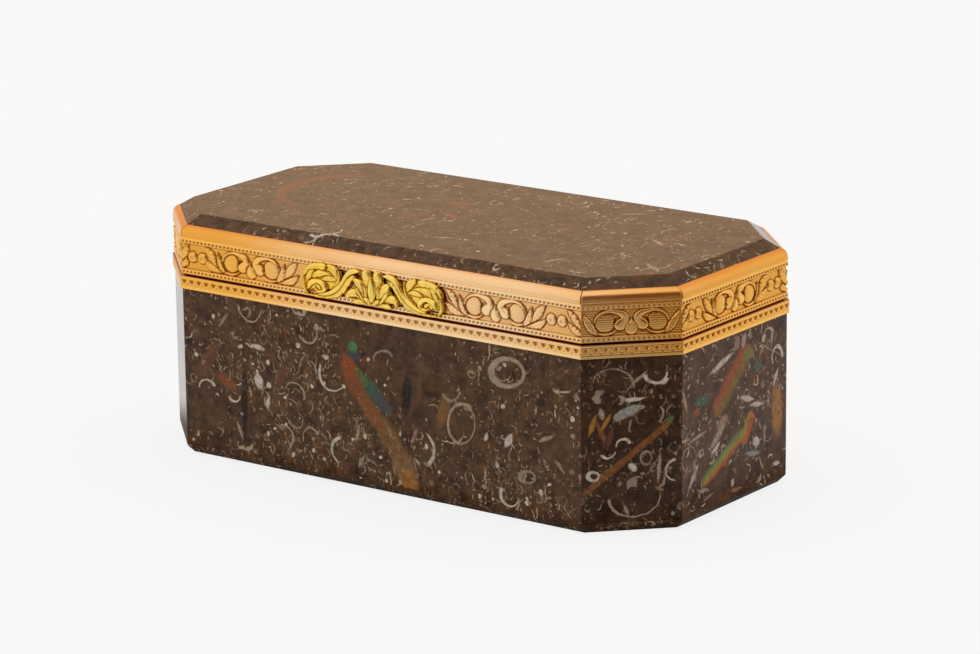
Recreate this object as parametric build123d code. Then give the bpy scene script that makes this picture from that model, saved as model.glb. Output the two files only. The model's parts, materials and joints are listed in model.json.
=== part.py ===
from build123d import *
import os
from math import sqrt

os.makedirs("parts", exist_ok=True)

# Stone body, in millimetres
body_length = 88.0
body_depth = 45.3
corner_leg = 9.6
wall_thickness = 2.6
floor_thickness = 1.5
floor_edge_inset = 1.05
floor_edge_rise = 1.1
base_height = 26.2

# Gold mount round the mouth of the base
rim_height = 1.8
rim_proud = 0.28
rim_thickness = 0.5
flange_thickness = 0.45

# Upstand inside the mouth
bezel_thickness = 0.45
bezel_rise = 1.2
bezel_clearance = 0.15

# Closed joint between base and lid
joint_gap = 0.25

# Gold mount of the lid
band_height = 5.45
band_proud = 0.11
band_thickness = 0.7
lining_thickness = 0.4
lining_inset = 1.65
ledge_width = 1.7
ledge_thickness = 0.6

# Convex strips that hold the lid's stone down
moulding_height = 1.6
moulding_fillet = 0.2
moulding_bulge = 0.3
mitre_gap = 0.12

# Stone plate of the lid
slab_inset = 0.95
slab_fit = 0.03
bevel_width = 2.0
bevel_rise = 1.2

# Hinge along the back
hinge_length = 60.0
knuckle_count = 9
knuckle_radius = 0.8
knuckle_gap = 0.1
hinge_standoff = 0.5
groove_clearance = 0.08
foot_depth = 0.35
pin_radius = 0.35
pin_clearance = 0.03
plug_length = 0.8
plug_clearance = 0.01

# Thumbpiece on the front of the lid's mount
thumb_length = 24.3
thumb_height = 5.1
leaf_thickness = 0.6
leaf_step = 0.12
leaf_bevel = 0.2
leaf_bow = 0.25
wrap_leaves = 6
wrap_width = 1.4
wrap_first = 215
wrap_last = 15
wrap_twist = 55
wrap_margin = 0.1
back_leaf_width = 1.6
volute_radius = 1.6
volute_band = 0.6
volute_foot = 260
volute_close = -20
volute_eye = 0.5
volute_drop = 0.75
stem_width = 1.3
stem_thickness = 0.9
stem_end = 2.0
knob_radius = 0.6
spur_leaves = 3
spur_width = 1.2
spur_length = 2.4
spur_angle = -62
spur_first = 0.5
spur_step = 0.15
palmette_leaves = 7
palmette_width = 1.6
palmette_side = 3.6
palmette_spread = 86
palmette_crowding = 0.4

# Blocks that trim a section reach this far past it
trim_margin = 1.0

# Levels and offsets that follow from the sizes above
flange_underside = base_height - flange_thickness
rim_bottom = base_height - rim_height
rim_rebate = rim_thickness - rim_proud
bezel_outset = -(lining_inset + bezel_clearance)
lid_bottom = base_height + joint_gap
band_top = lid_bottom + band_height
lid_flange_top = lid_bottom + flange_thickness
moulding_top = band_top + moulding_height
slab_side = -(slab_inset + slab_fit)
lid_top = moulding_top + bevel_rise
axis_y = body_depth / 2 + hinge_standoff
axis_z = base_height + joint_gap / 2
knuckle_pitch = hinge_length / knuckle_count
bore_radius = pin_radius + pin_clearance

side_names = [
    "front",
    "front_right_cant",
    "right_end",
    "back_right_cant",
    "back",
    "back_left_cant",
    "left_end",
    "front_left_cant",
]


# The plan of the box: a rectangle with four 45-degree corners, moved out by grow.
# The cut corners keep the same distance from the first outline as the straight sides do.
def plan_corners(grow):
    half_x = body_length / 2 + grow
    half_y = body_depth / 2 + grow
    leg = corner_leg + grow * (2 - sqrt(2))
    return [
        Vector(-half_x + leg, -half_y),
        Vector(half_x - leg, -half_y),
        Vector(half_x, -half_y + leg),
        Vector(half_x, half_y - leg),
        Vector(half_x - leg, half_y),
        Vector(-half_x + leg, half_y),
        Vector(-half_x, half_y - leg),
        Vector(-half_x, -half_y + leg),
    ]


def plan_face(grow, level):
    outline = make_face(Polyline(*plan_corners(grow), close=True))
    return Pos(0, 0, level) * outline


def plan_block(grow, bottom, top):
    return extrude(plan_face(grow, bottom), top - bottom, dir=(0, 0, 1))


def plan_ring(outer, inner, bottom, top):
    return plan_block(outer, bottom, top) - plan_block(inner, bottom, top)


# The part of a ring that belongs to one side, cut off at the mitres.
def side_block(side, outer, inner, bottom, top, end_gap=0.0):
    following = (side + 1) % len(side_names)
    outside = plan_corners(outer)
    inside = plan_corners(inner)
    along = (outside[following] - outside[side]).normalized() * end_gap
    corners = [
        outside[side] + along,
        outside[following] - along,
        inside[following] - along,
        inside[side] + along,
    ]
    outline = make_face(Polyline(*corners, close=True))
    return extrude(Pos(0, 0, bottom) * outline, top - bottom, dir=(0, 0, 1))


# A plane across one side at its middle: x is the distance outwards, y the height.
def side_plane(side):
    following = (side + 1) % len(side_names)
    corners = plan_corners(0)
    along = (corners[following] - corners[side]).normalized()
    outwards = Vector(along.Y, -along.X, 0)
    middle = (corners[side] + corners[following]) / 2
    return Plane(origin=middle, x_dir=outwards, z_dir=-along)


# Stone floor with its lower edge cut back
def make_bottom_slab():
    edge = loft(
        [plan_face(-floor_edge_inset, 0), plan_face(0, floor_edge_rise)],
        ruled=True,
    )
    return edge + plan_block(0, floor_edge_rise, floor_thickness)


# One stone wall, rebated at the top for the rim
def make_panel(side):
    panel = side_block(side, 0, -wall_thickness, floor_thickness, flange_underside)
    rebate = plan_ring(trim_margin, -rim_rebate, rim_bottom, flange_underside)
    return panel - rebate


# Both halves of the hinge lie in one groove cut along the back of the two mounts.
def hinge_groove():
    groove = Cylinder(knuckle_radius + groove_clearance, hinge_length, rotation=(0, 90, 0))
    return Pos(0, axis_y, axis_z) * groove


def knuckle_starts(first):
    left = -hinge_length / 2
    return [left + index * knuckle_pitch for index in range(first, knuckle_count, 2)]


# The foot of one knuckle, from the hinge axis into the face of its mount.
def knuckle_foot(start, face, level, reach):
    depth = axis_y - face + foot_depth
    foot = Box(
        knuckle_pitch - knuckle_gap,
        depth,
        abs(reach),
        align=(Align.MIN, Align.MAX, Align.MIN if reach > 0 else Align.MAX),
    )
    return Pos(start + knuckle_gap / 2, axis_y, level) * foot


def knuckle_feet(first, face, level, reach):
    return [knuckle_foot(start, face, level, reach) for start in knuckle_starts(first)]


def make_knuckles(first, face, level, reach):
    knuckles = []
    for start, foot in zip(knuckle_starts(first), knuckle_feet(first, face, level, reach)):
        middle = Pos(start + knuckle_pitch / 2, axis_y, axis_z)
        length = knuckle_pitch - knuckle_gap
        tube = middle * Cylinder(knuckle_radius, length, rotation=(0, 90, 0))
        bore = middle * Cylinder(bore_radius, length, rotation=(0, 90, 0))
        knuckles.append(tube + foot - bore)
    return Compound(children=[part.solid() for part in knuckles])


base_feet = dict(
    first=0,
    face=body_depth / 2 + rim_proud,
    level=base_height,
    reach=-(knuckle_radius - joint_gap / 2),
)
lid_feet = dict(
    first=1,
    face=body_depth / 2 + band_proud,
    level=lid_bottom,
    reach=knuckle_radius - joint_gap / 2,
)


# Gold angle round the mouth: a face let into the stone and a flange over the walls
def make_base_rim():
    face = plan_ring(rim_proud, -rim_rebate, rim_bottom, flange_underside)
    flange = plan_ring(rim_proud, -wall_thickness, flange_underside, base_height)
    rim = face + flange - hinge_groove()
    for foot in knuckle_feet(**base_feet):
        rim -= foot
    return rim


def make_base_bezel():
    return plan_ring(bezel_outset, bezel_outset - bezel_thickness, base_height, base_height + bezel_rise)


# Gold angle of the lid: the chased face and a flange that meets the base
def make_lid_band():
    face = plan_ring(band_proud, band_proud - band_thickness, lid_flange_top, band_top)
    flange = plan_ring(band_proud, -lining_inset, lid_bottom, lid_flange_top)
    band = face + flange - hinge_groove()
    for foot in knuckle_feet(**lid_feet):
        band -= foot
    return band


# Plain lining inside the band, turned in at the top to carry the stone
def make_lid_lining():
    ledge_bottom = band_top - ledge_thickness
    wall = plan_ring(lining_thickness - lining_inset, -lining_inset, lid_flange_top, ledge_bottom)
    ledge_outset = band_proud - band_thickness
    ledge = plan_ring(ledge_outset, -lining_inset - ledge_width, ledge_bottom, band_top)
    return wall + ledge


# One convex strip, leaning in from the band to the edge of the stone
def make_moulding(side):
    low = Vector(band_proud, band_top)
    step = Vector(band_proud, band_top + moulding_fillet)
    high = Vector(-slab_inset, moulding_top)
    chord = high - step
    normal = Vector(chord.Y, -chord.X).normalized()
    crown = (step + high) / 2 + normal * moulding_bulge
    with BuildSketch(side_plane(side)) as profile:
        with BuildLine():
            Line(low, step)
            ThreePointArc(step, crown, high)
            Polyline(high, Vector(-slab_inset, band_top), low)
        make_face()
    bar = extrude(profile.sketch, body_length / 2 + rim_proud, both=True)
    inner = -slab_inset - trim_margin
    stretch = side_block(side, trim_margin, inner, band_top, moulding_top, mitre_gap / 2)
    return bar & stretch


# Stone plate with a wide bevel above the mouldings
def make_lid_slab():
    body = plan_block(slab_side, band_top, moulding_top)
    bevel = loft(
        [plan_face(slab_side, moulding_top), plan_face(slab_side - bevel_width, lid_top)],
        ruled=True,
    )
    return body + bevel


def make_hinge_pin():
    pin = Cylinder(pin_radius, hinge_length - 2 * plug_length, rotation=(0, 90, 0))
    return Pos(0, axis_y, axis_z) * pin


def make_end_plugs():
    plugs = []
    for end in (-1, 1):
        centre = end * (hinge_length - plug_length) / 2
        plug = Cylinder(bore_radius - plug_clearance, plug_length, rotation=(0, 90, 0))
        plugs.append((Pos(centre, axis_y, axis_z) * plug).solid())
    return Compound(children=plugs)


# The front face of the lid's mount, with its origin at mid height: x runs along the box.
thumb_plane = Plane(
    origin=(0, -body_depth / 2 - band_proud, (lid_bottom + band_top) / 2),
    x_dir=(1, 0, 0),
    z_dir=(0, -1, 0),
)


# A pointed leaf as two arcs from root to tip, bowed to the left and drawn in by margin
def leaf_face(root, tip, width, bow, margin, level):
    along = (tip - root).normalized()
    across = Vector(-along.Y, along.X)
    low = root + along * margin
    high = tip - along * margin
    belly = (low + high) / 2 + across * bow
    side = across * (width / 2 - margin)
    outline = make_face([
        ThreePointArc(low, belly + side, high),
        ThreePointArc(high, belly - side, low),
    ])
    return Pos(0, 0, level) * outline


# The leaf as a raised form with bevelled sides
def leaf(root, tip, width, thickness, bow=0.0):
    foot = leaf_face(root, tip, width, bow, 0, 0)
    crest = leaf_face(root, tip, width, bow, leaf_bevel, thickness)
    return loft([foot, crest], ruled=True)


def polar(centre, radius, angle):
    return centre + Vector(radius, 0).rotate(Axis.Z, angle)


# Leaves that wrap round a volute from the outer end to the stem, every second one higher.
# Their roots lie in the volute. Their tips lie just inside the end of the piece's outline,
# because the bowed side of a leaf stands out a little past its tip.
def wrap(volute, end_centre):
    leaves = []
    step = (wrap_last - wrap_first) / (wrap_leaves - 1)
    reach = thumb_height / 2 - wrap_margin
    for index in range(wrap_leaves):
        angle = wrap_first + index * step
        root = polar(volute, volute_radius / 2, angle + wrap_twist)
        tip = polar(end_centre, reach, angle)
        thickness = leaf_thickness + leaf_step * (index % 2)
        leaves.append(leaf(root, tip, wrap_width, thickness, leaf_bow))
    return leaves


# The volute: a round bud with a raised eye, and a raised band that rises from its foot round
# the outer side and over the top
def volute_bud(volute):
    radius = volute_radius - leaf_bevel - volute_band / 2
    curl = ThreePointArc(
        polar(volute, radius, volute_foot),
        polar(volute, radius, (volute_foot + volute_close) / 2),
        polar(volute, radius, volute_close),
    )
    return [
        extrude(Pos(volute) * Circle(volute_radius), leaf_thickness),
        extrude(Pos(volute) * Circle(volute_eye), stem_thickness),
        extrude(trace(curl, volute_band), stem_thickness - leaf_step, dir=(0, 0, 1)),
    ]


# The stem: it runs under the volute and rises to a round end at the top beside the palmette,
# with a leaf back over the volute and a row of spur leaves along its lower edge
def stem(volute):
    low = (stem_width - thumb_height) / 2
    bend = Vector((volute.X - stem_end) / 2, 0)
    rise = Spline(
        Vector(volute.X - volute_radius / 2, low),
        Vector(volute.X + volute_radius, low + leaf_bow),
        bend,
        Vector(-stem_end, -low),
        tangents=[(1, 0), (1, 0)],
    )
    back = polar(volute, volute_radius / 2, wrap_twist)
    forms = [
        extrude(trace(rise, stem_width), stem_thickness, dir=(0, 0, 1)),
        extrude(Pos(rise @ 1) * Circle(knob_radius), stem_thickness - leaf_step),
        leaf(bend, back, back_leaf_width, leaf_thickness + leaf_step, -leaf_bow),
    ]
    for index in range(spur_leaves):
        root = rise @ (spur_first + index * spur_step)
        tip = polar(root, spur_length, spur_angle)
        forms.append(leaf(root, tip, spur_width, leaf_thickness, leaf_bow))
    return forms


# The leaves that stand between the two scrolls, longest in the middle
def palmette():
    leaves = []
    root = Vector(0, (palmette_width - thumb_height) / 2)
    middle = (palmette_leaves - 1) / 2
    full = thumb_height - palmette_width / 2
    for index in range(palmette_leaves):
        turn = (index - middle) / middle
        length = full + (palmette_side - full) * abs(turn)
        thickness = leaf_thickness + leaf_step * (2 - 2 * abs(turn))
        lean = palmette_spread * turn * abs(turn) ** palmette_crowding
        tip = polar(root, length, 90 - lean)
        bow = leaf_bow * ((turn > 0) - (turn < 0))
        leaves.append(leaf(root, tip, palmette_width, thickness, bow))
    return leaves


def make_thumbpiece():
    end_centre = Vector((thumb_height - thumb_length) / 2, 0)
    volute = end_centre - Vector(0, volute_drop)
    left = Part() + wrap(volute, end_centre) + volute_bud(volute) + stem(volute)
    right = mirror(left, about=Plane.YZ)
    return thumb_plane * (left + right + palmette())


parts = {
    "thumbpiece": make_thumbpiece(),
    "bottom_slab": make_bottom_slab(),
    "base_rim": make_base_rim(),
    "base_bezel": make_base_bezel(),
    "base_hinge_knuckles": make_knuckles(**base_feet),
    "hinge_pin": make_hinge_pin(),
    "hinge_end_plugs": make_end_plugs(),
    "lid_slab": make_lid_slab(),
    "lid_band": make_lid_band(),
    "lid_lining": make_lid_lining(),
    "lid_hinge_knuckles": make_knuckles(**lid_feet),
}
for side, name in enumerate(side_names):
    parts[f"{name}_panel"] = make_panel(side)
    parts[f"{name}_moulding"] = make_moulding(side)

for node, shape in parts.items():
    export_step(shape, f"parts/{node}.step")
    print(node, round(shape.volume, 3))
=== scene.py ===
# %% [markdown]
# # A snuff box of shell marble in chased gold mounts
#
# The box is small enough for one hand: dark limestone full of cut shells, sawn into thin plates
# and polished, with gold mounts that hold the plates together and carry the hinge. The packed
# CAD model gives every plate and mount its place and size. This script gives them their looks:
# stone plates keep their CAD meshes and get a stone material, while the chased gold is modelled
# again as fine relief, because the light on a chased surface comes from its shape.

# %% Load the frame
import bpy
import json
import math
import numpy as np
from mathutils import Matrix, Vector


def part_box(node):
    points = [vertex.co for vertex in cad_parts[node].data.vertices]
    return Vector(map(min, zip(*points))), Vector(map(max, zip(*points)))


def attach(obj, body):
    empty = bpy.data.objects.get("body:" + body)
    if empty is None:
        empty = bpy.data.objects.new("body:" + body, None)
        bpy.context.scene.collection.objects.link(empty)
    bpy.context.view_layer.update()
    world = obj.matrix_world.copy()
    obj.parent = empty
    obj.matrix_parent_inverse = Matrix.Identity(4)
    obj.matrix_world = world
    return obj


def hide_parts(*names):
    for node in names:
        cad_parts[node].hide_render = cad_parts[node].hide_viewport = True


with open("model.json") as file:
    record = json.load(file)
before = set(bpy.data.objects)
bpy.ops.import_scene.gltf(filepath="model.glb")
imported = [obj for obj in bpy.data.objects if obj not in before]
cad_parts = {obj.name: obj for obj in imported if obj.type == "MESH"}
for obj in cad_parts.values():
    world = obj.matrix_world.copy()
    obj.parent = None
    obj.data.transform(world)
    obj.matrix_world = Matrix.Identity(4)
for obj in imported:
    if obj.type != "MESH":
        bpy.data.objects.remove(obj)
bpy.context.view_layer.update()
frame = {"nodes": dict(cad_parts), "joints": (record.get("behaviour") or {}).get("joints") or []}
MM = 0.001

# %% [markdown]
# ## Sizes that everything is built from
#
# All mounts follow one plan: a rectangle with its four corners cut at 45 degrees. Reading the
# plan from the CAD nodes keeps the chased pieces on the plates they hold, with no fitting. An
# outline moved outwards keeps the same distance on the straight sides and on the cut corners.

# %% Read the plan and the levels, in millimetres
SIDES = (
    "front", "front_right_cant", "right_end", "back_right_cant",
    "back", "back_left_cant", "left_end", "front_left_cant",
)


def box_mm(node):
    low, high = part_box(node)
    return np.array(low) / MM, np.array(high) / MM


slab_high = box_mm("bottom_slab")[1]
half_length, half_depth = slab_high[0], slab_high[1]
corner_leg = half_length - box_mm("front_panel")[1][0]
rim_low, rim_high = box_mm("base_rim")
band_low, band_high = box_mm("lid_band")
moulding_low, moulding_high = box_mm("front_moulding")
rim_proud = rim_high[0] - half_length
band_proud = band_high[0] - half_length
slab_inset = half_depth + moulding_high[1]
axis_y, axis_z = np.array(frame["joints"][0]["pos_m"])[1:] / MM
print("half length, half depth, corner:", [round(x, 3) for x in (half_length, half_depth, corner_leg)])
print("the lid's stone starts", round(slab_inset, 3), "mm inside the face of the plates")


# The eight corners of the plan, moved outwards by grow.
def plan_corners(grow):
    x, y = half_length + grow, half_depth + grow
    leg = corner_leg + grow * (2 - math.sqrt(2))
    return np.array([
        (-x + leg, -y), (x - leg, -y), (x, -y + leg), (x, y - leg),
        (x - leg, y), (-x + leg, y), (-x, y - leg), (-x, -y + leg),
    ])


def side_length(side, grow):
    corners = plan_corners(grow)
    return float(np.linalg.norm(corners[(side + 1) % 8] - corners[side]))

# %% [markdown]
# ## The camera
#
# A long lens from in front of the right-hand corner, a little above the lid. The distances were
# found by lining up the corners of the box with the photograph. The camera's own axes are built
# from the two angles, then rolled a little, as the photographer's camera was.

# %% Place the camera
LENS_MM = 152.2
AZIMUTH, ELEVATION, ROLL = 36.31, 14.94, -0.676
TARGET_HEIGHT, DISTANCE = 20.0, 585.9
SHIFT_RIGHT, SHIFT_UP = 2.31, -1.29

azimuth, elevation, roll = (math.radians(a) for a in (AZIMUTH, ELEVATION, ROLL))
back = Vector((
    math.sin(azimuth) * math.cos(elevation),
    -math.cos(azimuth) * math.cos(elevation),
    math.sin(elevation),
))
right = Vector((math.cos(azimuth), math.sin(azimuth), 0))
up = back.cross(right)
camera_x = right * math.cos(roll) + up * math.sin(roll)
camera_y = up * math.cos(roll) - right * math.sin(roll)
place = Vector((0, 0, TARGET_HEIGHT)) + right * SHIFT_RIGHT + up * SHIFT_UP + back * DISTANCE

camera = bpy.data.objects.new("camera", bpy.data.cameras.new("camera"))
bpy.context.scene.collection.objects.link(camera)
turned = Matrix((camera_x, camera_y, back)).transposed().to_4x4()
camera.matrix_world = Matrix.Translation(place * MM) @ turned
camera.data.lens = LENS_MM
camera.data.clip_start, camera.data.clip_end = 0.05, 20
bpy.context.scene.camera = camera
print("camera at", [round(x, 4) for x in camera.location])

# %% [markdown]
# ## Helpers for materials
#
# A material is a small graph of nodes. One function adds a node of any kind, sets what it is
# told to and links its inputs, so the graphs below read as lists of steps. Colours are written
# as the sRGB hex values a painter would pick and are turned into the linear values that light
# is worked out with.

# %% Colour and node helpers
def linear(hex_colour):
    parts = [int(hex_colour[i:i + 2], 16) / 255 for i in (1, 3, 5)]
    return [p / 12.92 if p <= 0.04045 else ((p + 0.055) / 1.055) ** 2.4 for p in parts] + [1.0]


# Adds a node. An input may be a socket to link, a hex colour or a plain value. It goes by its
# name, or by its number where names repeat: 0, 1 and 2 are the values of a Math node, a colour
# Mix blends 6 and 7 by 0, a vector is scaled by 3, and a MapRange reads 0 from the range 1 to 2
# and gives the range 3 to 4.
def add(tree, kind, inputs=None, output=0, **settings):
    node = tree.nodes.new("ShaderNode" + kind)
    for name, value in settings.items():
        setattr(node, name, value)
    for key, value in (inputs or {}).items():
        socket = node.inputs[key]
        if isinstance(value, bpy.types.NodeSocket):
            tree.links.new(value, socket)
        elif isinstance(value, str):
            socket.default_value = linear(value)
        else:
            socket.default_value = value
    return node.outputs[output] if node.outputs else node


def new_material(name):
    material = bpy.data.materials.new(name)
    material.use_nodes = True
    material.node_tree.nodes.clear()
    return material, material.node_tree


# Object coordinates, in millimetres, so that every pattern below is written in real sizes.
def place_mm(tree):
    at = add(tree, "TexCoord", output="Object")
    return add(tree, "VectorMath", {0: at, 3: 1 / MM}, operation="SCALE")


# A soft edge: 1 below it and 0 above it, changing over the given width.
def falls_past(tree, value, edge, width):
    return add(tree, "MapRange", {0: value, 1: edge - width / 2, 2: edge + width / 2, 3: 1.0, 4: 0.0},
               interpolation_type="SMOOTHSTEP")


print("middle grey in linear light:", round(linear("#808080")[0], 3))

# %% [markdown]
# ## Polished shell marble
#
# The stone is a dark limestone packed with small fossil shells. Saw it anywhere and the blade
# meets shells at every angle, so a bowl-shaped piece shows as a crescent, a tube as a ring and a
# flat piece as a sliver. That can be copied directly: space is divided into cells with a Voronoi
# texture, each cell holds one curved fragment turned at random, and the surface of the plate
# cuts through them. The pattern then runs over every edge as it does in real stone.

# %% One population of shell fragments
# Lengths are in millimetres: the spacing of the cells, the most that a fragment reaches from the
# middle of its cell, the radius it is bent to and the thickness of its wall. A share "keep" of
# the cells hold one. It returns the mask of the fragments and a random number for each.
def fragments(tree, at, spacing, reach, bend, wall, keep, taper=1.0):
    cell = add(tree, "TexVoronoi", {"Vector": at, "Scale": 1 / spacing}, output="Position")
    dice = add(tree, "SeparateColor", {0: cell.node.outputs["Color"]}).node
    chance = add(tree, "CombineXYZ", {0: dice.outputs[0], 1: dice.outputs[1], 2: dice.outputs[2]})
    inside = add(tree, "VectorMath", {0: at, 1: cell}, operation="SUBTRACT")
    angles = add(tree, "VectorMath", {0: chance, 3: 4 * math.pi}, operation="SCALE")
    turned = add(tree, "VectorRotate", {"Vector": inside, "Rotation": angles}, rotation_type="EULER_XYZ")
    bent = add(tree, "MapRange", {0: dice.outputs[1], 3: bend * 0.5, 4: bend * 1.8})
    centre = add(tree, "CombineXYZ", {2: bent})
    shifted = add(tree, "VectorMath", {0: turned, 1: centre}, operation="ADD")
    radius = add(tree, "VectorMath", {0: shifted}, output="Value", operation="LENGTH")
    off_wall = add(tree, "Math", {0: radius, 1: bent}, operation="SUBTRACT")
    off_wall = add(tree, "Math", {0: off_wall}, operation="ABSOLUTE")
    far = add(tree, "VectorMath", {0: inside}, output="Value", operation="LENGTH")
    size = add(tree, "MapRange", {0: dice.outputs[2], 3: reach * 0.55, 4: reach})
    share = add(tree, "Math", {0: far, 1: size}, operation="DIVIDE")
    ends = add(tree, "Math", {0: share, 1: 2.5}, operation="POWER")
    thinned = add(tree, "Math", {0: ends, 1: taper}, operation="MULTIPLY")
    depth = add(tree, "Math", {0: off_wall, 1: 2 / wall, 2: thinned}, operation="MULTIPLY_ADD")
    shape = falls_past(tree, depth, 1.0, 0.5)
    limit = falls_past(tree, share, 1.0, 0.2)
    chosen = add(tree, "Math", {0: dice.outputs[0], 1: keep}, operation="LESS_THAN")
    both = add(tree, "Math", {0: shape, 1: limit}, operation="MULTIPLY")
    return add(tree, "Math", {0: both, 1: chosen}, operation="MULTIPLY"), dice.outputs[1]


print("fragments are cut from cells of the stone itself, so they run over the edges")

# %% [markdown]
# A few shells are large enough to know each plate by: a thick ring, a rust-brown plume, slivers
# of mother-of-pearl that still flash green and red. These are placed one by one on the face of the
# plate. Each mark is a circle, a ring or a lens, stretched and turned into place, and its edge is
# made uneven by the same noise that bends the small fragments.

# %% Single marks on a face
PALETTE = {
    "white": "#cfc6b8", "grey": "#93887a", "pale": "#a99a86", "bluish": "#97a09c", "rust": "#7c4326",
    "red": "#8e3b20", "orange": "#a8582a", "brown": "#85582f", "ochre": "#8a6a32", "dark": "#241a12",
    "green": "#478a58", "violet": "#3f4a5e", "pink": "#a0806f", "ember": "#984a24", "russet": "#864e2c",
    "sienna": "#87562f", "umber": "#805d34", "tan": "#8c6b42", "amber": "#a8763a", "moss": "#5a6e3e",
    "sea": "#41614f", "slate": "#454f55", "olive": "#7e7c3a", "stain": "#694530",
}
PEARLS = {
    "pearl": ("#8a3a1c", "#b5562a", "#a8862e", "#86943a", "#5c8448", "#4a5844"),
    "fire_pearl": ("#7e3a22", "#a04e28", "#9c5c2a", "#8c6429", "#7c682e", "#5c5636"),
    "gilt_pearl": ("#8e3c20", "#b5562a", "#b4682c", "#a8862e", "#7e8a3a"),
}


# In these masks x and y run along and across the mark and are 1 at its edge, and square is
# their squares added up.
def ring_mask(tree, square, x, y, size, thickness, opening):
    wall = thickness / size
    lean = add(tree, "MapRange", {0: x, 1: -1.0, 2: 1.0, 3: wall * 1.4, 4: wall * 0.6})
    off = add(tree, "Math", {0: square, 1: 1.0}, operation="SUBTRACT")
    off = add(tree, "Math", {0: off}, operation="ABSOLUTE")
    ring = falls_past(tree, add(tree, "Math", {0: off, 1: lean}, operation="DIVIDE"), 1.0, 0.7)
    return add(tree, "Math", {0: ring, 1: falls_past(tree, y, opening, 0.25)}, operation="MULTIPLY")


def bar_mask(tree, square, x):
    blunt = add(tree, "Math", {0: x, 1: x}, operation="MULTIPLY")
    blunt = add(tree, "Math", {0: square, 1: blunt}, operation="SUBTRACT")
    ends = add(tree, "Math", {0: x, 1: 6.0}, operation="POWER")
    return falls_past(tree, add(tree, "Math", {0: ends, 1: blunt}, operation="ADD"), 0.9, 0.8)


# The colours of a bar of mother-of-pearl, from one long edge to the other.
def pearl_bands(tree, y, hues):
    ramp = add(tree, "ValToRGB", {0: add(tree, "MapRange", {0: y, 1: -1.0, 2: 1.0})})
    stops = ramp.node.color_ramp.elements
    stops.remove(stops[1])
    for index, hue in enumerate(hues):
        position = index / (len(hues) - 1)
        stop = stops[0] if index == 0 else stops.new(position)
        stop.position, stop.color = position, linear(hue)
    return ramp


# One mark: its kind, its place, its half sizes, its turn in degrees and its colour. A ring also
# has its thickness and the height, in half sizes, above which it is open.
def place_mark(tree, flat, kind, u, w, half_u, half_w, turn, shade, detail=None):
    cos, sin = math.cos(math.radians(turn)), math.sin(math.radians(turn))
    size = min(half_u, half_w)
    away = add(tree, "VectorMath", {0: flat, 1: (u, w, 0)}, operation="SUBTRACT")
    x = add(tree, "VectorMath", {0: away, 1: (cos / half_u, sin / half_u, 0)}, output="Value",
            operation="DOT_PRODUCT")
    y = add(tree, "VectorMath", {0: away, 1: (-sin / half_w, cos / half_w, 0)}, output="Value",
            operation="DOT_PRODUCT")
    if kind == "lens":
        bow = add(tree, "Math", {0: y}, operation="ABSOLUTE")
        bow = add(tree, "Math", {0: x, 1: x, 2: bow}, operation="MULTIPLY_ADD")
        mask = falls_past(tree, bow, 0.95, min(0.9, 0.5 / size))
    else:
        square = add(tree, "Math", {0: y, 1: y}, operation="MULTIPLY")
        square = add(tree, "Math", {0: x, 1: x, 2: square}, operation="MULTIPLY_ADD")
    if kind == "blob":
        mask = falls_past(tree, square, 1.0, min(1.0, 0.5 / size))
    if kind == "cloud":
        mask = falls_past(tree, square, 0.9, 1.1)
    if kind == "bar":
        mask = bar_mask(tree, square, x)
    if kind == "ring":
        mask = ring_mask(tree, square, x, y, size, *detail)
    return mask, pearl_bands(tree, y, PEARLS[shade]) if shade in PEARLS else PALETTE[shade]


def place_marks(tree, flat, marks):
    cover, paint = 0.0, "#5f4834"
    for mark in marks:
        mask, shade = place_mark(tree, flat, *mark)
        cover = add(tree, "Math", {0: mask, 1: cover}, operation="MAXIMUM")
        paint = add(tree, "Mix", {0: mask, 6: paint, 7: shade}, output=2, data_type="RGBA")
    return cover, paint


print("colours for the marks:", len(PALETTE), "plain and", len(PEARLS), "of mother-of-pearl")

# %% [markdown]
# The ground between the shells is not one colour: mud, iron stain and soot give it blotches a few
# millimetres across. Each comes from noise whose scale is one over its real size. Over it go the
# fragments, the smallest population first, and last the single marks. In some places of a plate
# the fragments lie close, and in others there are hardly any, so a slow noise and a few given places
# say how many cells are filled.

# %% The ground of the stone and its fragments
# The size of each noise, and how far the first one bends the fragments and the marks, in
# millimetres.
SWAY_SIZE, BLOTCH_SIZE, STAIN_SIZE, SOOT_SIZE = 1.111, 2.222, 2.857, 2.0
CROWD_SIZE, SPECK_SIZE = 9.091, 0.625
SWAY, MARK_SWAY = 0.7, 0.4
FRAGMENT_KINDS = (
    # spacing, reach, bend radius, wall, share of cells filled, taper, and the range of colour
    (0.65, 0.3, 0.35, 0.3, 0.6, 0.6, "#5d452f", "#a8947a"),
    (1.1, 0.55, 0.7, 0.18, 0.55, 0.8, "#8f6234", "#c6b69c"),
    (1.9, 1.05, 0.8, 0.2, 0.55, 0.9, "#7d5f40", "#c8b89e"),
    (2.9, 1.7, 1.2, 0.24, 0.5, 1.0, "#8d7a62", "#cfc1aa"),
    (4.2, 2.2, 1.7, 0.26, 0.36, 1.0, "#7c6749", "#b3a188"),
    (2.3, 0.42, 0.3, 0.7, 0.36, 0.5, "#a8947a", "#d8ccba"),
)


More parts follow.
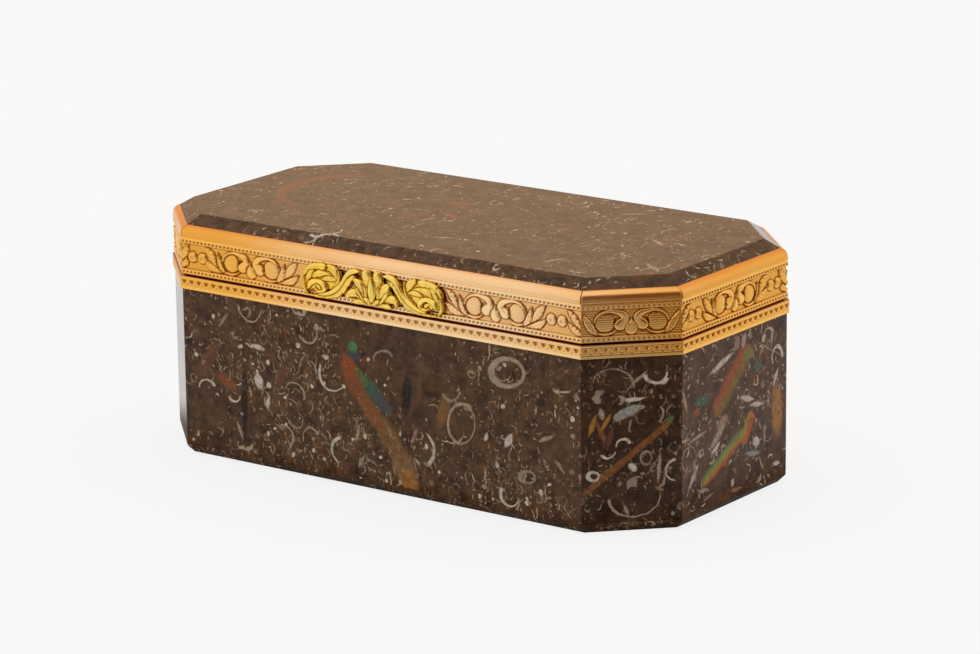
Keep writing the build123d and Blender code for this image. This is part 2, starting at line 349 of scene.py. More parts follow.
# Blotches of mud, a rusty stain over them and then soot, as a colour.
def stone_ground(tree, at, strayed):
    blotch = add(tree, "TexNoise", {"Vector": at, "Scale": 1 / BLOTCH_SIZE, "Detail": 7.0,
                                    "Roughness": 0.78})
    colour = add(tree, "Mix", {0: add(tree, "MapRange", {0: blotch, 1: 0.32, 2: 0.68}),
                               6: "#2c1b10", 7: "#6a4f38"}, output=2, data_type="RGBA")
    layers = (
        (STAIN_SIZE, 4.0, 3.0, 0.58, 0.74, 0.7, "#7c4c1e"),
        (SOOT_SIZE, 5.0, 8.0, 0.6, 0.72, 0.65, "#1f150d"),
    )
    for size, detail, layer, edge, full, most, shade in layers:
        cloud = add(tree, "TexNoise", {"Vector": strayed, "Scale": 1 / size, "Detail": detail, "W": layer},
                    noise_dimensions="4D")
        colour = add(tree, "Mix", {0: add(tree, "MapRange", {0: cloud, 1: edge, 2: full, 4: most}),
                                   6: colour, 7: shade}, output=2, data_type="RGBA")
    return colour


# How close the fragments lie: places are (across, up, reach, how busy), in millimetres on the face.
def crowding(tree, at, face, places):
    crowd = add(tree, "TexNoise", {"Vector": at, "Scale": 1 / CROWD_SIZE, "Detail": 2.0})
    crowd = add(tree, "MapRange", {0: crowd, 1: 0.36, 2: 0.62, 3: 0.3, 4: 1.3})
    for place_u, place_w, reach, busy in places:
        away = add(tree, "VectorMath", {0: face, 1: (place_u, place_w, 0)}, output="Value",
                   operation="DISTANCE")
        here = add(tree, "MapRange", {0: away, 1: reach * 0.5, 2: reach, 3: busy, 4: 1.0})
        crowd = add(tree, "Math", {0: crowd, 1: here}, operation="MULTIPLY")
    return crowd


def strew_fragments(tree, colour, strayed, crowd):
    for index, (spacing, reach, bend, wall, keep, taper, dull, pale) in enumerate(FRAGMENT_KINDS):
        elsewhere = (11.3 * index, 7.7 * index, 3.9 * index)
        other = add(tree, "VectorMath", {0: strayed, 1: elsewhere}, operation="ADD")
        share = add(tree, "Math", {0: crowd, 1: keep}, operation="MULTIPLY")
        shell, luck = fragments(tree, other, spacing, reach, bend, wall, share, taper)
        clear = add(tree, "MapRange", {0: luck, 3: 0.5, 4: 0.95})
        clear = add(tree, "Math", {0: shell, 1: clear}, operation="MULTIPLY")
        shade = add(tree, "Mix", {0: luck, 6: dull, 7: pale}, output=2, data_type="RGBA")
        colour = add(tree, "Mix", {0: clear, 6: colour, 7: shade}, output=2, data_type="RGBA")
    return colour


print("kinds of fragment:", len(FRAGMENT_KINDS), "with cells", [k[0] for k in FRAGMENT_KINDS], "mm apart")

# %% [markdown]
# The whole stone: limestone, sawn, ground flat and polished with fine grit. That gives the eye a
# dark, clear surface with a soft gloss, in which the shells look as sharp as if drawn. Calcite
# bends light by about 1.5 to 1.6, so the IOR is 1.5, and a polish leaves a roughness near 0.1.
# The gloss is kept low, as an old wax film keeps it. The places on a face are measured along and
# up the plate, so a mark stays on its plate whatever the plate's direction.

# %% The stone material
POLISH, GLOSS = 0.09, 0.12


# Depth darkens a whole plate with painted shade, for a plate that lies in less light.
def shell_marble(name, along=(1, 0, 0), upward=(0, 0, 1), middle=(0, 0, 0), marks=(), places=(), depth=0.0):
    material, tree = new_material(name)
    at = place_mm(tree)
    wander = add(tree, "TexNoise", {"Vector": at, "Scale": 1 / SWAY_SIZE, "Detail": 3.0, "Roughness": 0.55},
                 output="Color")
    wander = add(tree, "SeparateColor", {0: wander}).node
    wander = add(tree, "CombineXYZ", {0: wander.outputs[0], 1: wander.outputs[1], 2: wander.outputs[2]})
    centred = add(tree, "VectorMath", {0: wander, 1: (0.5, 0.5, 0.5)}, operation="SUBTRACT")
    sway = add(tree, "VectorMath", {0: centred, 3: SWAY}, operation="SCALE")
    strayed = add(tree, "VectorMath", {0: at, 1: sway}, operation="ADD")
    start = add(tree, "VectorMath", {0: at, 1: middle}, operation="SUBTRACT")
    u = add(tree, "VectorMath", {0: start, 1: along}, output="Value", operation="DOT_PRODUCT")
    w = add(tree, "VectorMath", {0: start, 1: upward}, output="Value", operation="DOT_PRODUCT")
    face = add(tree, "CombineXYZ", {0: u, 1: w})
    colour = stone_ground(tree, at, strayed)
    colour = strew_fragments(tree, colour, strayed, crowding(tree, at, face, places))
    # The plate is darkened towards near black by its depth, as painted shade.
    colour = add(tree, "Mix", {0: depth, 6: colour, 7: "#140b05"}, output=2, data_type="RGBA")
    if marks:
        soft = add(tree, "VectorMath", {0: centred, 3: MARK_SWAY}, operation="SCALE")
        uneven = add(tree, "VectorMath", {0: soft, 1: along}, output="Value", operation="DOT_PRODUCT")
        uneven_up = add(tree, "VectorMath", {0: soft, 1: upward}, output="Value", operation="DOT_PRODUCT")
        uneven = add(tree, "CombineXYZ", {0: uneven, 1: uneven_up})
        flat = add(tree, "VectorMath", {0: face, 1: uneven}, operation="ADD")
        speck = add(tree, "TexNoise", {"Vector": at, "Scale": 1 / SPECK_SIZE, "Detail": 4.0,
                                       "Roughness": 0.7})
        grain = add(tree, "MapRange", {0: speck, 1: 0.34, 2: 0.58, 3: 0.4, 4: 0.95})
        cover, paint = place_marks(tree, flat, marks)
        cover = add(tree, "Math", {0: cover, 1: grain}, operation="MULTIPLY")
        colour = add(tree, "Mix", {0: cover, 6: colour, 7: paint}, output=2, data_type="RGBA")
    shader = add(tree, "BsdfPrincipled", {"Base Color": colour, "Roughness": POLISH,
                                          "IOR": 1.5, "Specular IOR Level": GLOSS})
    add(tree, "OutputMaterial", {"Surface": shader})
    return material


print("the stone has a roughness of", POLISH, "and a specular level of", GLOSS)

# %% [markdown]
# Every plate gets its own marks. Places are in millimetres on the face: across from the middle
# of the plate and up from the table, and on the lid across and back from its centre.

# %% Marks of the front plate
FRONT_MARKS = (
    ("cloud", 4.5, 4.4, 3.9, 1.9, -62, "tan"), ("cloud", 5.5, 2.4, 1.9, 1.5, -50, "amber"),
    ("cloud", 2.0, 8.4, 4.0, 1.7, -52, "umber"), ("cloud", -1.4, 12.0, 3.9, 1.4, -50, "sienna"),
    ("cloud", -3.9, 15.2, 2.9, 1.5, -62, "russet"), ("cloud", -4.9, 17.4, 1.7, 1.5, -50, "ember"),
    ("cloud", -0.4, 14.3, 3.2, 1.2, -46, "sea"), ("cloud", 1.3, 12.7, 1.8, 0.9, -46, "slate"),
    ("cloud", -2.6, 16.2, 1.7, 0.6, -56, "moss"), ("cloud", -3.8, 19.1, 1.0, 0.7, 0, "violet"),
    ("cloud", -4.0, 20.3, 0.9, 0.8, 0, "green"), ("cloud", -30.3, 14.3, 3.6, 1.1, 52, "stain"),
    ("cloud", -26.7, 11.8, 2.0, 1.0, -25, "russet"), ("cloud", -23.6, 9.0, 6.5, 0.7, 88, "dark"),
    ("cloud", 11.5, 13.7, 2.9, 1.0, 72, "umber"), ("cloud", 5.2, 14.8, 3.6, 1.0, 84, "dark"),
    ("cloud", -17.0, 14.0, 2.4, 1.0, 60, "stain"),
    ("blob", -20.9, 12.7, 0.75, 1.2, 18, "white"), ("blob", -19.1, 12.4, 0.45, 0.45, 0, "white"),
    ("lens", -19.3, 9.9, 1.1, 0.4, 80, "white"), ("lens", -20.8, 17.7, 1.3, 0.45, -8, "white"),
    ("blob", -32.3, 14.9, 0.4, 0.36, 0, "white"), ("blob", -8.7, 18.1, 0.5, 0.36, 30, "white"),
    ("blob", -13.7, 19.0, 0.45, 0.35, 0, "white"), ("blob", -10.3, 22.2, 0.35, 0.45, 0, "white"),
    ("blob", -24.1, 17.3, 0.45, 0.32, 20, "white"), ("blob", 17.7, 20.6, 0.35, 0.42, 0, "pale"),
    ("blob", 21.5, 15.8, 0.42, 0.36, 0, "white"), ("lens", 18.6, 11.1, 0.8, 0.35, 70, "white"),
    ("lens", 22.4, 11.2, 1.3, 0.62, 60, "white"), ("blob", 20.5, 7.4, 0.36, 0.34, 0, "white"),
    ("blob", 18.2, 4.0, 0.5, 0.34, 0, "pale"), ("blob", 27.7, 4.8, 0.36, 0.45, 0, "white"),
    ("blob", 32.9, 15.9, 0.36, 0.45, 0, "white"), ("blob", 30.4, 19.3, 0.45, 0.34, 0, "pale"),
    ("ring", 22.3, 20.7, 2.75, 1.95, 12, "pale", (0.62, 2.0)),
    ("ring", 14.5, 12.3, 2.2, 2.9, -16, "pale", (0.3, 2.0)),
    ("ring", 25.4, 6.6, 1.3, 0.85, 10, "grey", (0.4, 2.0)),
    ("ring", 22.4, 3.4, 1.5, 1.4, -30, "white", (0.4, 0.2)),
    ("ring", -22.2, 23.6, 2.1, 2.4, 0, "pale", (0.28, -0.1)),
    ("ring", -12.0, 21.5, 1.7, 1.9, 35, "pale", (0.27, 0.0)),
    ("ring", -7.2, 16.4, 2.5, 3.2, -35, "white", (0.3, -0.3)),
    ("ring", -14.4, 12.0, 1.7, 1.5, 160, "pale", (0.25, 0.1)),
    ("ring", -14.4, 8.4, 1.3, 1.4, 20, "grey", (0.27, 0.0)),
    ("ring", -11.8, 6.2, 1.4, 1.2, 200, "pale", (0.25, 0.1)),
    ("ring", -16.5, 5.5, 1.6, 1.5, 120, "pale", (0.34, 0.0)),
    ("ring", -6.0, 4.9, 1.9, 2.1, 260, "white", (0.4, -0.3)),
    ("lens", -3.4, 8.0, 1.5, 0.3, 75, "pale"), ("lens", -2.9, 4.0, 1.2, 0.3, 60, "pale"),
    ("ring", -30.5, 10.5, 1.4, 1.0, 190, "white", (0.28, 0.1)),
    ("ring", -25.4, 9.9, 1.0, 0.8, 10, "white", (0.27, 0.0)),
    ("ring", 7.4, 7.7, 2.5, 2.4, 90, "white", (0.5, -0.5)),
    ("ring", 12.8, 16.6, 1.5, 1.3, 30, "grey", (0.3, 0.2)),
    ("lens", 6.4, 9.1, 1.5, 0.35, 65, "pink"), ("ring", 1.2, 19.5, 1.6, 1.0, 200, "grey", (0.3, 0.1)),
    ("lens", -27.0, 20.8, 1.6, 0.3, 55, "grey"), ("lens", -24.6, 5.0, 1.5, 0.3, -65, "pale"),
    ("lens", 28.5, 12.5, 1.6, 0.34, 25, "pale"), ("lens", 30.8, 9.0, 1.2, 0.3, -50, "grey"),
)
print("marks on the front plate:", len(FRONT_MARKS))

# %% [markdown]
# The right-hand corner plate is crossed by a long straight shell and holds a bluish chip, an open
# bowl and a few amber slivers. The right end has two bars of mother-of-pearl: polishing cuts
# their layers at a slant, so each layer shows its own colour as a band along the bar.

# %% Marks of the right-hand corner plate and the right end
CORNER_MARKS = (
    ("bar", -0.8, 10.3, 8.3, 0.5, 39, "sienna"), ("cloud", 5.2, 15.5, 0.7, 0.42, 40, "moss"),
    ("lens", -5.3, 15.2, 1.7, 0.4, 70, "amber"), ("lens", -4.2, 14.2, 1.8, 0.4, 112, "sienna"),
    ("lens", -3.5, 15.5, 1.5, 0.35, 60, "amber"), ("lens", -3.0, 13.2, 1.6, 0.4, 75, "stain"),
    ("lens", -4.1, 16.7, 0.9, 0.45, 105, "pale"), ("blob", -4.4, 19.7, 0.6, 0.4, 0, "grey"),
    ("bar", -0.7, 16.7, 2.0, 0.7, 24, "pale"), ("blob", 0.9, 17.4, 0.9, 0.36, 4, "pale"),
    ("cloud", -0.7, 16.8, 1.6, 0.6, 22, "bluish"),
    ("lens", 0.2, 18.5, 1.9, 0.32, 4, "white"), ("lens", -1.2, 18.7, 0.8, 0.3, -40, "pale"),
    ("ring", 0.35, 4.9, 3.5, 2.7, 4, "pale", (0.24, 0.1)),
    ("ring", -5.25, 8.1, 0.8, 0.62, 0, "white", (0.36, 2.0)),
    ("blob", 0.1, 9.1, 0.75, 0.5, -50, "white"), ("ring", 3.3, 22.0, 1.5, 1.4, 5, "white", (0.4, 0.0)),
    ("ring", 6.1, 8.4, 1.5, 1.5, 270, "white", (0.3, -0.1)), ("lens", 3.7, 8.8, 2.4, 0.3, 86, "pale"),
    ("ring", -1.2, 12.3, 0.9, 0.8, 190, "white", (0.3, 0.1)),
    ("ring", -3.2, 11.2, 0.9, 0.7, 10, "white", (0.28, 0.0)),
    ("ring", -2.5, 20.6, 2.8, 2.2, 170, "grey", (0.24, 0.0)), ("lens", 1.0, 21.4, 1.6, 0.25, 40, "pale"),
    ("lens", -0.8, 3.1, 1.0, 0.3, 110, "pale"), ("lens", 0.4, 7.6, 1.0, 0.2, 10, "grey"),
    ("ring", 1.9, 10.3, 0.7, 0.9, 0, "grey", (0.25, 2.0)), ("lens", 4.4, 20.8, 0.8, 0.4, 30, "white"),
)
END_MARKS = (
    ("bar", -0.8, 17.9, 6.0, 1.8, 222, "fire_pearl"), ("cloud", 3.3, 20.7, 1.5, 0.9, 10, "olive"),
    ("bar", -2.9, 7.5, 5.9, 1.15, 26, "pearl"), ("bar", 3.2, 10.3, 2.4, 1.2, 60, "gilt_pearl"),
    ("cloud", -8.2, 16.7, 1.9, 0.8, 4, "sea"), ("cloud", -9.5, 15.5, 0.9, 0.6, 0, "ember"),
    ("cloud", 5.7, 18.6, 1.1, 0.9, 40, "sea"), ("cloud", 10.6, 11.2, 4.4, 1.5, 94, "amber"),
    ("lens", -3.4, 20.9, 3.3, 0.5, 17, "white"), ("lens", 3.0, 14.5, 1.9, 0.5, -18, "white"),
    ("lens", 5.4, 13.1, 1.9, 0.4, -10, "white"), ("blob", -3.2, 12.6, 1.5, 0.7, 24, "pink"),
    ("lens", -4.3, 10.9, 2.5, 0.65, 36, "pale"), ("lens", -4.8, 9.3, 1.5, 0.4, 30, "white"),
    ("lens", -9.2, 12.0, 2.6, 0.26, 10, "pale"), ("lens", -10.2, 6.7, 2.2, 0.42, 52, "white"),
    ("lens", -9.9, 7.4, 1.8, 0.35, 100, "pale"), ("blob", 5.3, 7.8, 0.95, 0.7, -30, "white"),
    ("lens", 4.5, 6.3, 2.0, 0.45, -12, "bluish"), ("ring", -11.3, 9.4, 1.7, 1.7, 0, "grey", (0.2, 2.0)),
    ("lens", 9.2, 21.8, 1.6, 0.3, 86, "pale"), ("lens", 9.0, 20.0, 5.0, 0.14, -28, "grey"),
    ("ring", 10.6, 18.4, 1.3, 1.8, 190, "white", (0.4, 0.2)),
    ("lens", 10.2, 15.8, 1.5, 0.4, 60, "white"),
    ("lens", -12.3, 17.6, 2.0, 0.3, 108, "pale"), ("lens", -12.3, 12.2, 1.2, 0.3, 0, "pale"),
    ("blob", 0.4, 22.9, 0.7, 1.0, 0, "pink"), ("blob", 2.1, 22.9, 0.6, 1.0, -20, "pale"),
    ("lens", -7.8, 4.1, 1.7, 0.35, -10, "pale"), ("lens", -6.5, 2.9, 1.8, 0.2, 12, "grey"),
    ("blob", -0.6, 3.4, 0.4, 0.6, 0, "white"), ("lens", 0.3, 2.2, 1.6, 0.35, -4, "amber"),
    ("lens", 10.5, 3.4, 1.1, 0.4, -10, "white"), ("lens", 7.4, 8.0, 1.4, 0.28, 88, "grey"),
    ("ring", -6.0, 8.2, 0.7, 0.8, 60, "pale", (0.25, 0.1)), ("lens", 6.6, 4.4, 1.6, 0.2, -60, "pale"),
)
print("marks on the corner plate and the end:", len(CORNER_MARKS), len(END_MARKS))

# %% [markdown]
# The lid is calmer. One large rust-brown arc lies at its left, two red slivers meet near the
# middle, and a few curved shells lie by the front edge, where the light catches them.

# %% Marks of the lid
LID_MARKS = (
    ("ring", -21.0, 3.5, 12.0, 13.0, -75, "rust", (1.7, -0.42)),
    ("blob", -6.4, 5.6, 2.2, 1.3, 10, "rust"),
    ("lens", -7.4, -3.2, 3.9, 0.4, 66, "red"), ("lens", -3.1, -0.9, 2.9, 0.4, -24, "red"),
    ("lens", 14.8, 0.9, 1.3, 0.4, 20, "orange"), ("lens", 27.5, 9.4, 1.0, 0.4, 10, "green"),
    ("blob", 10.4, 7.9, 0.5, 0.4, 0, "dark"), ("blob", 21.3, -6.5, 0.5, 0.4, 0, "dark"),
    ("ring", -12.0, -18.0, 2.3, 2.0, 60, "white", (0.34, 0.0)),
    ("ring", -10.0, -20.6, 1.8, 1.6, 220, "white", (0.3, 0.0)),
    ("ring", 37.0, -8.0, 1.5, 2.4, 30, "pale", (0.3, 0.0)),
    ("ring", 38.0, -12.0, 1.2, 1.6, 200, "pale", (0.3, 0.0)),
    ("lens", 24.0, -14.0, 2.4, 0.3, 70, "pale"), ("lens", 4.0, -12.0, 2.0, 0.28, 20, "pale"),
    ("lens", 18.0, 14.0, 2.6, 0.3, 35, "pale"), ("lens", 30.0, 2.0, 2.2, 0.3, -30, "pale"),
)
print("marks on the lid:", len(LID_MARKS))

# %% [markdown]
# ## Giving every plate its stone
#
# The plates keep the meshes that the CAD gives them, which are already at their real size. Each
# gets its own copy of the stone, with its own direction and marks. Two modifiers finish the
# edges: the first joins the points that the faces of the CAD mesh share, and the second takes
# off the sharp arris by a tenth of a millimetre, as a polisher does, so that the edge catches
# light.

# %% Give every plate its stone
ARRIS_WIDTH, ARRIS_ANGLE = 0.12, 20
# The marks of each plate, how much painted shade darkens it, and where its fragments lie close
# or far apart.
LID_PLACES = ((0, 0, 90.0, 0.6),)
STONE_FACES = {"front": FRONT_MARKS, "front_right_cant": CORNER_MARKS, "right_end": END_MARKS}
SHADED_PLATES = {"front_right_cant": 0.45}
BUSY_PLACES = {"front": (
    (7.5, 20.5, 10.0, 0.12), (5.5, 13.0, 5.0, 0.25), (29.0, 20.0, 5.0, 0.5), (-30.0, 6.0, 7.0, 0.5),
    (-13.0, 8.0, 10.0, 3.4), (-1.5, 6.0, 6.0, 2.8), (26.0, 5.0, 9.0, 3.0), (-13.0, 20.0, 9.0, 3.2),
    (-20.0, 15.0, 7.0, 2.4),
)}

stones = {
    "bottom_slab": shell_marble("polished_shell_marble"),
    "lid_slab": shell_marble("polished_shell_marble_lid", upward=(0, 1, 0), marks=LID_MARKS,
                             places=LID_PLACES),
}
for side, name in enumerate(SIDES):
    start, end = plan_corners(0)[side], plan_corners(0)[(side + 1) % 8]
    run = (end - start) / np.linalg.norm(end - start)
    stones[f"{name}_panel"] = shell_marble(
        f"polished_shell_marble_{name}", along=(*run, 0), middle=(*(start + end) / 2, 0),
        marks=STONE_FACES.get(name, ()), places=BUSY_PLACES.get(name, ()), depth=SHADED_PLATES.get(name, 0.0))


def give_material(node_name, material):
    slots = frame["nodes"][node_name].data.materials
    slots.clear()
    slots.append(material)


for name, stone in stones.items():
    give_material(name, stone)
    weld = frame["nodes"][name].modifiers.new("weld", "WELD")
    weld.merge_threshold = 1e-6
    arris = frame["nodes"][name].modifiers.new("arris", "BEVEL")
    arris.width, arris.segments, arris.limit_method = ARRIS_WIDTH * MM, 2, "ANGLE"
    arris.angle_limit = math.radians(ARRIS_ANGLE)
print("stone plates:", len(stones))

# %% [markdown]
# ## Gold
#
# Gold alloyed with copper is red gold, and with silver it is green gold; a goldsmith uses both
# on one box for their contrast. A metal has no diffuse colour: all of its colour is in what it
# reflects. Polished strips are nearly a mirror, chased work is a little duller, and the lines
# that were cut with a punch hold dirt and old wax, which makes them read as drawn lines. At the
# right of the front the gold is painted bright and pale, as painted light, and away from there it
# is painted more orange, as painted shade: a smooth change of tint over the whole box.
#
# The relief meshes below carry three values at each point, which the material reads: how much
# of a cut line and of painted shade lies there, how much of the ground is engraved with level lines,
# and how far the place lies below the highest parts, which is painted darker as painted shade.

# %% Gold materials
ENGRAVED_PITCH = 0.3        # the real lines lie 0.24 mm apart, a little too fine to show
# The gold is painted lit within the first reach of this place and painted shaded beyond the second, in
# millimetres.
LIT_PLACE, LIT_REACH, SHADED_REACH = (12.0, -half_depth - 5, 30.0), 18.0, 48.0
LIGHT_CLOUD_SIZE, LIGHT_CLOUD_SWAY = 8.333, 14.0
RUB_SIZE, STREAK_SIZE = 0.2, (4.0, 4.0, 0.2)
# The walls of the gap between the rim and the band are painted dark red-brown, as painted shade in the gap.
JOINT_MIDDLE, JOINT_REACH, JOINT_SHADE = (rim_high[2] + band_low[2]) / 2, 0.14, "#8a4014"


# 0 where the gold is painted bright and pale, as painted light, and 1 where it is painted more orange, as
# painted shade.
def painted_light_and_shade(tree, at):
    away = add(tree, "VectorMath", {0: at, 1: LIT_PLACE}, output="Value", operation="DISTANCE")
    cloud = add(tree, "TexNoise", {"Vector": at, "Scale": 1 / LIGHT_CLOUD_SIZE, "Detail": 3.0})
    lit_to_shaded = add(tree, "Math", {0: cloud, 1: LIGHT_CLOUD_SWAY, 2: away}, operation="MULTIPLY_ADD")
    return add(tree, "MapRange", {0: lit_to_shaded, 1: LIT_REACH, 2: SHADED_REACH},
               interpolation_type="SMOOTHSTEP")


# Level lines across the ground, as a wave from -1 to 1.
def engraved_wave(tree, level):
    ground = add(tree, "Attribute", {}, output="Fac", attribute_name="ground")
    wave = add(tree, "Math", {0: level, 1: 2 * math.pi / ENGRAVED_PITCH}, operation="MULTIPLY")
    wave = add(tree, "Math", {0: wave}, operation="SINE")
    return add(tree, "Math", {0: wave, 1: ground}, operation="MULTIPLY")


# Colours: where the gold is painted lit, where it is painted shaded, and where it lies low in the
# relief, which is painted shade, and of the dirt in its lines, which also paints shade and is
# painted fainter where the gold is painted lit. Streaks says how deep the marks of drawing are.
def gold(name, lit_tint, shaded_tint, low_shade_tint, dirt_and_shade, roughness, streaks=0.0):
    material, tree = new_material(name)
    at = place_mm(tree)
    cut = add(tree, "Attribute", {}, output="Fac", attribute_name="cut")
    # How low a place lies, which the material paints as shade.
    hollow = add(tree, "Attribute", {}, output="Fac", attribute_name="hollow")
    level = add(tree, "SeparateXYZ", {0: at}, output=2)
    lit_to_shaded = painted_light_and_shade(tree, at)
    lined = engraved_wave(tree, level)
    metal = add(tree, "Mix", {0: lit_to_shaded, 6: lit_tint, 7: shaded_tint}, output=2, data_type="RGBA")
    # Low parts of the relief are painted towards the darker tint, as painted shade.
    low_shade = add(tree, "Math", {0: hollow, 1: 0.5}, operation="MULTIPLY")
    metal = add(tree, "Mix", {0: low_shade, 6: metal, 7: low_shade_tint}, output=2, data_type="RGBA")
    furrows = add(tree, "MapRange", {0: lined, 1: -1.0, 2: -0.1, 3: 0.3, 4: 0.0})
    # The dirt colour, which also paints shade, is painted fainter where the gold is painted lit.
    unlit_share = add(tree, "MapRange", {0: lit_to_shaded, 3: 0.72, 4: 1.0})
    # Cut lines and engraved furrows take the dirt colour, which also carries painted shade.
    dark = add(tree, "Math", {0: cut, 1: furrows}, operation="MAXIMUM")
    dark = add(tree, "Math", {0: dark, 1: unlit_share}, operation="MULTIPLY")
    tint = add(tree, "Mix", {0: dark, 6: metal, 7: dirt_and_shade}, output=2, data_type="RGBA")
    # The walls of the joint gap are painted dark, as painted shade.
    above = add(tree, "Math", {0: level, 1: JOINT_MIDDLE}, operation="SUBTRACT")
    above = add(tree, "Math", {0: above}, operation="ABSOLUTE")
    tint = add(tree, "Mix", {0: falls_past(tree, above, JOINT_REACH, 0.06), 6: tint, 7: JOINT_SHADE},
               output=2, data_type="RGBA")
    grain = RUB_SIZE
    if streaks:
        at = add(tree, "VectorMath", {0: at, 1: [1 / x for x in STREAK_SIZE]}, operation="MULTIPLY")
        grain = 1.0
    rub = add(tree, "TexNoise", {"Vector": at, "Scale": 1 / grain, "Detail": 4.0})
    rough = add(tree, "MapRange", {0: rub, 1: 0.3, 2: 0.7, 3: roughness * 0.75, 4: roughness * 1.3})
    rough = add(tree, "Math", {0: dark, 1: 0.35, 2: rough}, operation="MULTIPLY_ADD")
    relief = add(tree, "Math", {0: rub, 1: 0.5 + streaks, 2: lined}, operation="MULTIPLY_ADD")
    bump = add(tree, "Bump", {"Height": relief, "Distance": 0.02 * MM, "Strength": 0.7})
    shader = add(tree, "BsdfPrincipled", {"Base Color": tint, "Metallic": 1.0, "Roughness": rough,
                                          "Normal": bump})
    add(tree, "OutputMaterial", {"Surface": shader})
    return material


# Red gold drawn through a plate and polished: long faint streaks, and a mirror gone a little soft.
polished_red_gold = gold("polished_red_gold", "#fdd09a", "#f0aa48", "#c8832c", "#6b3006", 0.26, streaks=0.5)
# Red gold worked with punches: paler on the raised parts and painted darker low down, as painted shade,
# with brown dirt in every line.
chased_red_gold = gold("chased_red_gold", "#ffdaa4", "#ffc05c", "#e09828", "#883f04", 0.24)
# Green gold, cast and chased: a cool lemon yellow beside the warm band.
chased_green_gold = gold("chased_green_gold", "#ffe174", "#ffcc38", "#f0b424", "#b07410", 0.22)
# Red gold wire as it leaves the draw plate: a little duller and browner.
drawn_gold_wire = gold("drawn_gold_wire", "#f0c088", "#e6a050", "#c8832c", "#6b3a12", 0.3)

for name in ("base_bezel", "lid_lining", "base_hinge_knuckles", "lid_hinge_knuckles", "hinge_end_plugs"):
    give_material(name, polished_red_gold)
give_material("hinge_pin", drawn_gold_wire)
golds = (polished_red_gold, chased_red_gold, chased_green_gold, drawn_gold_wire)
print("kinds of gold:", [m.name for m in golds])

# %% [markdown]
# ## Chasing: relief as a field of heights
#
# The mounts were chased: the goldsmith raised leaves and scrolls from the sheet, cut their
# outlines with a punch and lined the ground between them. A mesh could be sculpted by hand, but
# a relief on a strip is only a height at each place, so it is drawn here as strokes on a grid.
# A stroke is a smooth path whose width changes along it. Each one rises like a rounded leaf,
# gets a vein if it has lobes, and cuts a fine groove round itself, as the punch did.

# %% Strokes on a field
PITCH = 0.07                # between the points of the relief, in millimetres


# A grid of places u along the side and v up it, with what the relief and its material need.
def new_field(length, height, pitch=PITCH, low=0.0):
    columns = int(math.ceil(length / pitch)) + 1
    rows = int(math.ceil(height / pitch)) + 1
    across = np.linspace(-length / 2, length / 2, columns)
    u, v = np.meshgrid(across, np.linspace(low, low + height, rows))
    blank = np.zeros_like(u)
    return {"u": u, "v": v, "height": blank.copy(), "ground": blank.copy(), "cut": blank.copy(),
            "hollow": blank.copy(), "edge": blank + 9.0}


# A smooth curve that passes through every point of a stroke.
def smooth_path(stroke, steps=10):
    p = np.array(stroke, float)
    p = np.vstack([2 * p[0] - p[1], p, 2 * p[-1] - p[-2]])
    t = np.linspace(0, 1, steps, endpoint=False)[:, None]
    runs = []
    for a, b, c, d in zip(p, p[1:], p[2:], p[3:]):
        runs.append(0.5 * (2 * b + (c - a) * t + (2 * a - 5 * b + 4 * c - d) * t ** 2
                           + (3 * b - a - 3 * c + d) * t ** 3))
    return np.vstack(runs + [p[-2:-1]])


# Raises one stroke, given as points (u, v, half width). It rises from base by rise, climbs by
# lift towards its tip, and may have lobes along its edges and a vein. The groove is cut round it.
def chase(field, stroke, rise=0.22, base=0.0, lobes=0, vein=0.0, groove=0.12, crown=0.45, lift=0.0,
          notch=0.36, line_width=0.12):
    path = smooth_path(stroke)
    margin = path[:, 2].max() + 0.4
    near = ((field["u"] > path[:, 0].min() - margin) & (field["u"] < path[:, 0].max() + margin)
            & (field["v"] > path[:, 1].min() - margin) & (field["v"] < path[:, 1].max() + margin))
    if not near.any():
        return
    # How far every place lies from each short piece of the path, and how wide the stroke is there.
    p = np.stack([field["u"][near], field["v"][near]], 1)[:, None]
    a, b = path[None, :-1], path[None, 1:]
    run = b[..., :2] - a[..., :2]
    t = np.clip(((p - a[..., :2]) * run).sum(2) / np.maximum((run ** 2).sum(2), 1e-9), 0, 1)
    off = np.linalg.norm(p - a[..., :2] - run * t[..., None], axis=2)
    along = (np.arange(len(path) - 1)[None] + t) / (len(path) - 1)
    width = a[..., 2] + (b[..., 2] - a[..., 2]) * t
    if lobes:
        width = width * (1 - notch * (along * lobes % 1.0) ** 1.5)
    # The piece whose edge is nearest counts. The distance is below 0 inside the stroke.
    best = np.argmin(off - width, axis=1)
    pick = np.arange(len(best)), best
    distance, across = (off - width)[pick], (off / np.maximum(width, 1e-6))[pick]
    along, off = along[pick], off[pick]
    # A body rounded across, with its vein and ribs sunk in it, and the groove along the outside.
    inside = distance < 0
    body = base + lift * along + rise * np.clip(1 - across ** 2, 0, 1) ** crown
    line = np.exp(-(off / 0.06) ** 2) * (along < 0.9)
    ribs = np.exp(-(((along * lobes - 0.6 * across) % 1.0 - 0.5) / 0.13) ** 2) if lobes else 0 * line
    marks = vein * np.maximum(line, 0.6 * ribs * (across < 0.85))
    rim = np.exp(-(distance / line_width) ** 2)
    field["height"][near] = np.where(inside, body - 0.5 * marks, field["height"][near] - groove * rim)
    field["cut"][near] = np.where(inside, marks * 4.5, np.maximum(field["cut"][near], rim))
    field["ground"][near] = np.where(distance < 0.06, 0, field["ground"][near])
    field["edge"][near] = np.minimum(field["edge"][near], distance)


